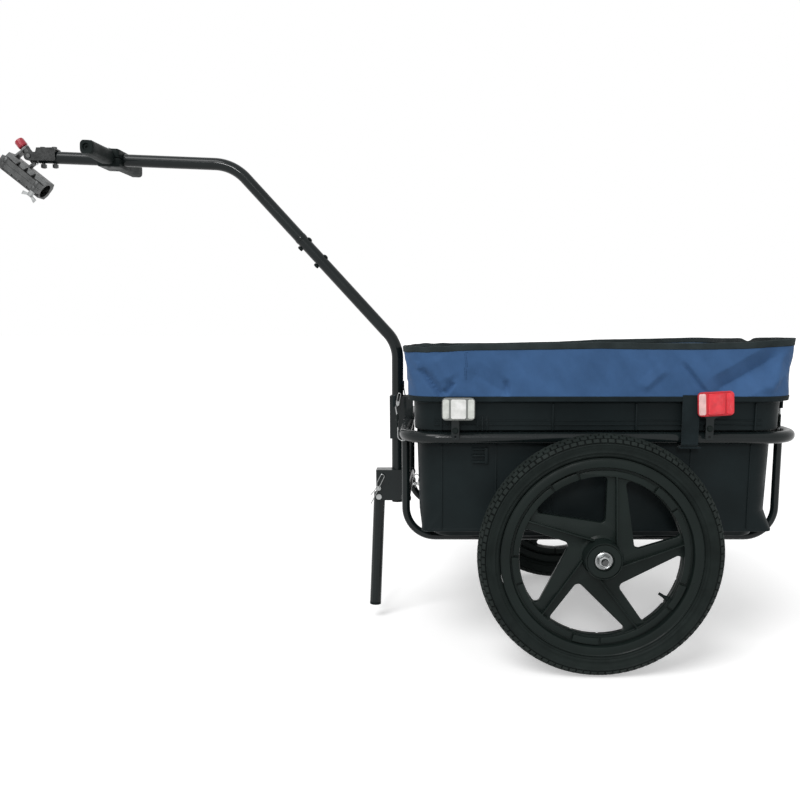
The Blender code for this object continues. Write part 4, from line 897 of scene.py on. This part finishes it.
def bracket(name, stem, x, screw_z, sign, part):
    low, high = sorted((sign * 0.264, sign * 0.2658))
    near, far = (stem - 6.5 * MM, stem + 6.5 * MM), (x - 20 * MM, x + 20 * MM)
    shape = [(near[0], 0.39, 0), (near[1], 0.39, 0), (near[1], 0.426, 0), (far[1], 0.433, 0),
        (far[1], 0.457, 0), (far[0], 0.457, 0), (far[0], 0.433, 0), (near[0], 0.426, 0)]
    path = [p[:2] for p in bend(shape, [(5 if i in (2, 7) else 3) * MM for i in range(8)], 4, closed=True)]
    plate = outline(path, -high, -low, SIDE_VIEW, 0.4, [circle((stem, 0.396), 1.7 * MM, 16)])
    post = rod((stem, sign * 0.2462, screw_z), (stem, sign * 0.2645, screw_z), 5 * MM, 24)
    painted(name, joined(plate, post), part)
    head = joined(rod((stem, sign * 0.2655, screw_z), (stem, sign * 0.2666, screw_z), 5.4 * MM, 24),
        bolt_head((stem, sign * 0.2664, screw_z), Y * sign, 4.4 * MM, 2.8 * MM))
    piece(name + "_screw", head, GRIP_PLASTIC, "zinc_steel")


# The clear reflector's side panes carry painted shade.
CLEAR_LOOKS = (LENS_EDGE, CLEAR_SIDE_SHADE, CLEAR_LENS, CLEAR_SIDE_SHADE)
# The red reflector's left pane carries a painted highlight.
RED_LOOKS = (RED_EDGE, RED_SIDE_HIGHLIGHT, RED_LENS, RED_LENS)


@both_sides
def make_reflectors(word, sign):
    for place, x, z, wide, tall, looks, slot, lean, stem, screw_z in (
            ("front", 0.03, 0.442, 0.054, 0.037, CLEAR_LOOKS, "clear_reflector", 0, 0.025, 0.4062),
            ("rear", 0.447, 0.4505, 0.059, 0.04, RED_LOOKS, "red_reflector", 3, 0.44, 0.4096)):
        bracket(f"{word}_{place}_reflector_bracket", stem, x, screw_z, sign,
            f"{place}_reflector_bracket_{word}")
        reflector(f"{word}_{place}_reflector", x, z, wide, tall, looks, slot, sign, lean,
            f"{place}_reflector_{word}")


# Cover straps
@both_sides
def make_strap(word, sign):
    """A belt down from the cover and in under the ring, with a foot and two sewn rows."""
    face, top, end, span = 0.263, 0.464, 0.244, (0.395, 0.423)
    under = RING_Z - RING_R - 2 * MM
    low = under - 2 * MM
    outer = bend([(face, top, 0), (face, under + 3 * MM, 0), (face - 4 * MM, low, 0), (end, low, 0)],
        [0, 3 * MM, 3 * MM, 0], 6)
    inner = bend([(face - 1.8 * MM, top, 0), (face - 1.8 * MM, under + 4 * MM, 0),
        (face - 5.4 * MM, under, 0), (end, under, 0)], [0, 2.4 * MM, 2.4 * MM, 0], 6)
    belt = outline([(sign * p.x, p.y) for p in outer + inner[::-1]], *span, END_VIEW, 0.3)
    near, far = sorted((sign * (face - 3 * MM), sign * (end - MM)))
    foot = block((span[0] - 2 * MM, near, under - 4.4 * MM), (span[1] + 6 * MM, far, under - 1.6 * MM), 1)
    near, far = sorted((sign * face, sign * (face + 0.4 * MM)))
    rows = [block((x, near, under + 9 * MM), (x + 0.8 * MM, far, top - 4 * MM))
        for x in (span[0] + 2 * MM, span[1] - 2.8 * MM)]
    piece(f"{word}_cover_strap", joined(belt, foot, *rows), BLACK_TAPE, "black_fabric",
        f"cover_strap_{word}")


# Corner latches
@both_sides
def make_latches(word, sign):
    y, low = sign * 0.182, RING_Z - RING_R - 2.1 * MM
    for place, hook, drift, top in (("front", RING_FRONT, 6 * MM, 0.45), ("rear", RING_REAR, MM, 0.448)):
        name, x = f"{word}_{place}_latch_", hook - (RING_R + 2 * MM)
        x_top = x - drift
        paths = [[(hook, y + side, low), (x, y + side, low), (x, y + side, 0.415),
            (x_top, y + side * 0.4, top)] for side in (-3.2 * MM, 3.2 * MM)]
        wire = [pipe(bend(path, [0, 8 * MM, 6 * MM, 0], 8), 1.3 * MM, 3) for path in paths]
        eye = [Vector((x_top, y + 3 * MM * cos(a), top + 3 * MM * sin(a))) for a in full_turn(24)]
        wire.append(pipe(eye, 1.2 * MM, 3, closed=True))
        piece(name + "wire", joined(*wire), ZINC, "zinc_steel", f"corner_latch_{place}_{word}")
        plate = block((x - 2.6 * MM, y - 6.5 * MM, 0.403), (x + 0.6 * MM, y + 6.5 * MM, 0.425), 0.8)
        rivet = dome((x - 2.6 * MM, y, 0.414), -X, 2.6 * MM, 1.4 * MM)
        piece(name + "plate", joined(plate, rivet), GRIP_PLASTIC, "black_plastic")
        tab = block((x_top - 2.4 * MM, y - 11 * MM, top - 12 * MM),
            (x_top + 2.2 * MM, y + 11 * MM, top + 7 * MM), 0.9)
        piece(name + "tab", tab, BLACK_TAPE, "black_fabric")


# Drawbar
run_down = (BAR_LOW_BEND - BAR_HIGH_BEND).normalized()
joint = BAR_HIGH_BEND + run_down * ((JOINT_X - BAR_HIGH_BEND.x) / run_down.x)
bar_side = Vector((run_down.z, 0, -run_down.x))  # square to the sloping run, towards the ground
bar_start = (BAR_HIGH_BEND - BAR_TIP).normalized()
front_bar = joined(pipe(bend([BAR_TIP, BAR_HIGH_BEND, joint - run_down * GAP], BAR_HIGH_R, 18), BAR_R, 10),
    rod(BAR_TIP - bar_start * 0.2 * MM, BAR_TIP + bar_start * 9 * MM, BAR_R + 0.5 * MM, 40, edge=0.6))
painted("front_bar", front_bar, "drawbar_front_tube")
rear_bar = joined(pipe(bend([joint, BAR_LOW_BEND, BAR_FOOT], BAR_LOW_R, 18), BAR_R, 10),
    rod(joint, joint + run_down * 7 * MM, BAR_R + 0.5 * MM, 40, edge=0.5))
painted("rear_bar", rear_bar, "drawbar_rear_tube")
for word, x in zip(("upper", "lower"), (-0.2515, -0.2225)):
    spot = joint + run_down * ((x - JOINT_X) / run_down.x)
    bolt = joined(dome(spot - bar_side * (BAR_R - 0.2 * MM), -bar_side, 5.2 * MM, 3.2 * MM),
        bolt_head(spot + bar_side * (BAR_R + GAP), bar_side, 5 * MM, 4.4 * MM),
        rod(spot + bar_side * BAR_R, spot + bar_side * 16 * MM, 2.8 * MM, 16))
    piece(f"joint_bolt_{word}", bolt, GRIP_PLASTIC, "zinc_steel", f"drawbar_joint_bolt_{word}")

# Cross handle
tilt = atan2(BAR_HIGH_BEND.z - BAR_TIP.z, BAR_HIGH_BEND.x - BAR_TIP.x)
handle_z = BAR_TIP.z + tan(tilt) * (HANDLE_X - BAR_TIP.x)
HANDLE = Matrix.Translation((HANDLE_X, 0, handle_z)) @ Matrix.Rotation(-tilt, 4, "Y")


def handle_section(half_x, half_z, teeth):
    """The grip's section, with a tooth on its upper and lower faces."""
    return [(x, z + (teeth if z > 0 else -teeth) * (abs(x) < half_x * 0.7))
        for x, z in rounded_rect(half_x, half_z, 6 * MM, 5)]


def bar_bore():
    return rod((-0.05, 0, 0), (0.05, 0, 0), BAR_R + 0.2 * MM, 40, place=HANDLE)


GRIP_RIBS = 34
bm_grip, rings = bmesh.new(), []
for number, y in enumerate(np.linspace(-HANDLE_HALF, HANDLE_HALF, 2 * GRIP_RIBS + 1)):
    near_hub = abs(y) < 34 * MM
    teeth = 0.0 if near_hub or number % 2 else 0.9 * MM
    swell = 0.6 * MM * cos(pi * y / HANDLE_HALF)
    end_draw = 1.2 * MM if abs(y) > HANDLE_HALF - MM else 0
    section = handle_section(11.6 * MM - end_draw, 12 * MM + swell - end_draw, teeth)
    rings.append([bm_grip.verts.new(HANDLE @ Vector((x, y, z))) for x, z in section])
skin(bm_grip, rings, caps=False)
bm_grip.faces.new(rings[0])
bm_grip.faces.new(list(reversed(rings[-1])))
grip = cut(face_out(bm_grip), *[rod((0, s * (HANDLE_HALF - 6 * MM), 0), (0, s * (HANDLE_HALF + 5 * MM), 0),
    6.5 * MM, 28, place=HANDLE) for s in (-1, 1)], bar_bore())
ends = [turned(mm((2.4, 0), (6.3, 0), (6.3, 2.5), (2.4, 2.5)), 28,
    HANDLE @ frame_at((0, s * (HANDLE_HALF - 4.5 * MM) - 1.2 * MM, 0), Z, X, Y)) for s in (-1, 1)]
piece("grip", joined(grip, *ends), GRIP_PLASTIC, "black_plastic", "handle_grip")
HUB_SHAPE = rounded_rect(20 * MM, 30 * MM, 5 * MM, 5)
for name, low, high in (("upper", 0.2 * MM, 15.8 * MM), ("lower", -16 * MM, -0.2 * MM)):
    half = outline(HUB_SHAPE, low, high, HANDLE, 2.2)
    bored = [bar_bore()]
    if name == "lower":
        bored += [rod((0, y, -0.03), (0, y, -12 * MM), 3.6 * MM, 20, place=HANDLE)
            for y in (-22 * MM, 22 * MM)]
    piece(f"handle_hub_{name}", cut(half, *bored), GRIP_PLASTIC, "black_plastic",
        *(["handle_clamp"] if name == "lower" else []))
screws = [dome(HANDLE @ Vector((0, y, 15.8 * MM)), HANDLE.to_3x3() @ Z, 3.6 * MM, 2 * MM)
    for y in (-22 * MM, 22 * MM)]
piece("handle_screws", joined(*screws), ZINC, "zinc_steel")

# Coupling
CLAMP_END_VIEW = CLAMP_FRAME @ frame_at(ORIGIN, Y, Z, X)
FLANGE, BOSS_R, GUSSETS_AT = 9 * MM, 7.2 * MM, (-17 * MM, 0, 17 * MM)


def clamp_dressing(name, sign, depth, body):
    """Screw bosses and gussets on half of the clamp: sign is 1 for the body, -1 for the jaw."""
    bosses = [rod((d, SCREW_SIDE, sign * MM), (d, SCREW_SIDE, sign * (FLANGE + 1.4 * MM)), BOSS_R, 28,
        BOSS_R - 0.7 * MM, CLAMP_FRAME, 0.6) for d in (-SCREW_AT, SCREW_AT)]
    foot, wall = sign * (FLANGE - MM), sign * (depth - 0.8 * MM)
    gussets = [outline([(-25 * MM, foot), (-12 * MM, foot), (-10.4 * MM, wall)], d - 1.3 * MM, d + 1.3 * MM,
        CLAMP_END_VIEW, 0.4) for d in GUSSETS_AT]
    piece(name, joined(*bosses, *gussets), CAST_ALUMINIUM, "cast_aluminium", body=body)


clamp_dressing("clamp_body_bosses", 1, CLAMP_BODY, "seatpost_clamp")
clamp_dressing("clamp_jaw_bosses", -1, CLAMP_JAW, "jaw")
knob = mm((3.4, 22), (7.4, 22), (8.7, 23.2), (9, 24.5), (9, 35), (8.3, 36.9), (6, 38), (1.2, 38),
    (1.2, 23.4), (3.4, 23.4))
piece("fluted_knob", rounded(turned(knob, 10, PIN_FRAME), 0.7, 3, 30), RED_PLASTIC, "red_plastic",
    "release_knob", body="release", angle=50)
collar = turned(mm((3.4, 18.7), (8.2, 18.7), (8.6, 19.3), (6.4, 21.7), (3.4, 21.7)), 32, PIN_FRAME)
piece("release_collar", collar, ZINC, "zinc_steel", body="seatpost_clamp")


# Parts shown as they are
def smoothing_tree(sharp=35):
    """Nodes that shade faces smooth and keep edges over an angle sharp."""
    tree = bpy.data.node_groups.new("smooth_by_angle", "GeometryNodeTree")
    for direction in ("INPUT", "OUTPUT"):
        tree.interface.new_socket("Geometry", in_out=direction, socket_type="NodeSocketGeometry")
    angle = add(tree, "GeometryNodeInputMeshEdgeAngle", {}, "Unsigned Angle")
    soft = add(tree, "FunctionNodeCompare", {"A": angle, "B": radians(sharp)}, "Result",
        operation="LESS_THAN")
    faces = add(tree, "GeometryNodeSetShadeSmooth", {"Geometry": add(tree, "NodeGroupInput", {})})
    edges = add(tree, "GeometryNodeSetShadeSmooth", {"Geometry": faces, "Shade Smooth": soft},
        domain="EDGE")
    tree.links.new(edges, tree.nodes.new("NodeGroupOutput").inputs[0])
    return tree


SMOOTHING = smoothing_tree()


def dress(name, look):
    """Gives a part its look, merges flat faces, rounds edges and smooths round faces."""
    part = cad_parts[name]
    for held in part.material_slots:
        held.material = look
    modify(part, ("DECIMATE", {"decimate_type": "DISSOLVE", "angle_limit": radians(1)}), rounding(0.5, 2),
        ("NODES", {"node_group": SMOOTHING}))


for look, names in ((BLACK_PAINT, "upper_drawbar_bracket lower_drawbar_bracket leg_tube"),
                    (GRIP_PLASTIC, "leg_foot"),
                    (DULL_ZINC, "axle_stub_left axle_stub_right wheel_bush_left wheel_bush_right "
                                "coupling_bolt_front coupling_bolt_rear clamp_hex_screw"),
                    (DARK_ZINC, "coupling_bracket"),
                    (FORGED, "hitch_knuckle"),
                    (ZINC, "drawbar_upper_pin drawbar_lower_pin release_pin wing_screw leg_pivot_bolt "
                           "leg_lock_pin leg_lock_clip"),
                    (CAST_ALUMINIUM, "clamp_body clamp_jaw")):
    for name in names.split():
        dress(name, look)


# Floor, background and light
FLOOR_WHITE, FLOOR_BOUNCE, FLOOR_GLOW, FLOOR_HALF, FLOOR_DROP = 0.97, 0.55, 0.32, 30, 0.4 * MM
WORLD_LIGHT = 0.48
# name, energy, height above the horizon, turn to the left of the camera's direction, width of the disc
SUNS = (("high_sun", 1.4, 50, 28, 30), ("low_sun", 0.9, 22, 8, 10))


def camera_share(tree):
    """A socket that is 1 where the camera sees this, straight or in metal, gloss or glass."""
    path = tree.nodes.new("ShaderNodeLightPath").outputs
    shown = path["Is Camera Ray"]
    for kind in ("Is Glossy Ray", "Is Transmission Ray"):
        shown = add(tree, "ShaderNodeMath", {0: shown, 1: path[kind]}, operation="MAXIMUM")
    return shown


def studio_floor():
    """A floor that looks white, apart from the shadow, and lights the object less."""
    look = Look("studio_floor", (1, 1, 1), 1, Specular_IOR_Level=0, Emission_Color=(1, 1, 1, 1))
    seen = camera_share(look.tree)
    ends = {"Factor": seen, "A": (*[FLOOR_BOUNCE] * 3, 1), "B": (*[FLOOR_WHITE] * 3, 1)}
    look.drive("Base Color", add(look.tree, "ShaderNodeMix", ends, "Result", data_type="RGBA"))
    look.drive("Emission Strength", look.calc("MULTIPLY", seen, FLOOR_GLOW))
    grid = bmesh.new()
    bmesh.ops.create_grid(grid, x_segments=1, y_segments=1, size=FLOOR_HALF)
    floor = show(as_object(grid, "floor"))
    floor.location.z = -FLOOR_DROP
    floor.data.materials.append(look.made)


studio_floor()
world = bpy.data.worlds.new("studio")
bpy.context.scene.world = world
world.use_nodes = True
sky = world.node_tree.nodes["Background"].inputs
sky["Color"].default_value = (1, 1, 1, 1)
span = {"Value": camera_share(world.node_tree), "To Min": WORLD_LIGHT, "To Max": 1.0}
world.node_tree.links.new(add(world.node_tree, "ShaderNodeMapRange", span, "Result"), sky["Strength"])

for name, energy, height, turn, width in SUNS:
    sun_data = bpy.data.lights.new(name, "SUN")
    sun_data.energy, sun_data.angle = energy, radians(width)
    show(bpy.data.objects.new(name, sun_data)).rotation_euler = (radians(90 - height), 0, radians(-turn))

bpy.context.scene.view_settings.view_transform = "Standard"
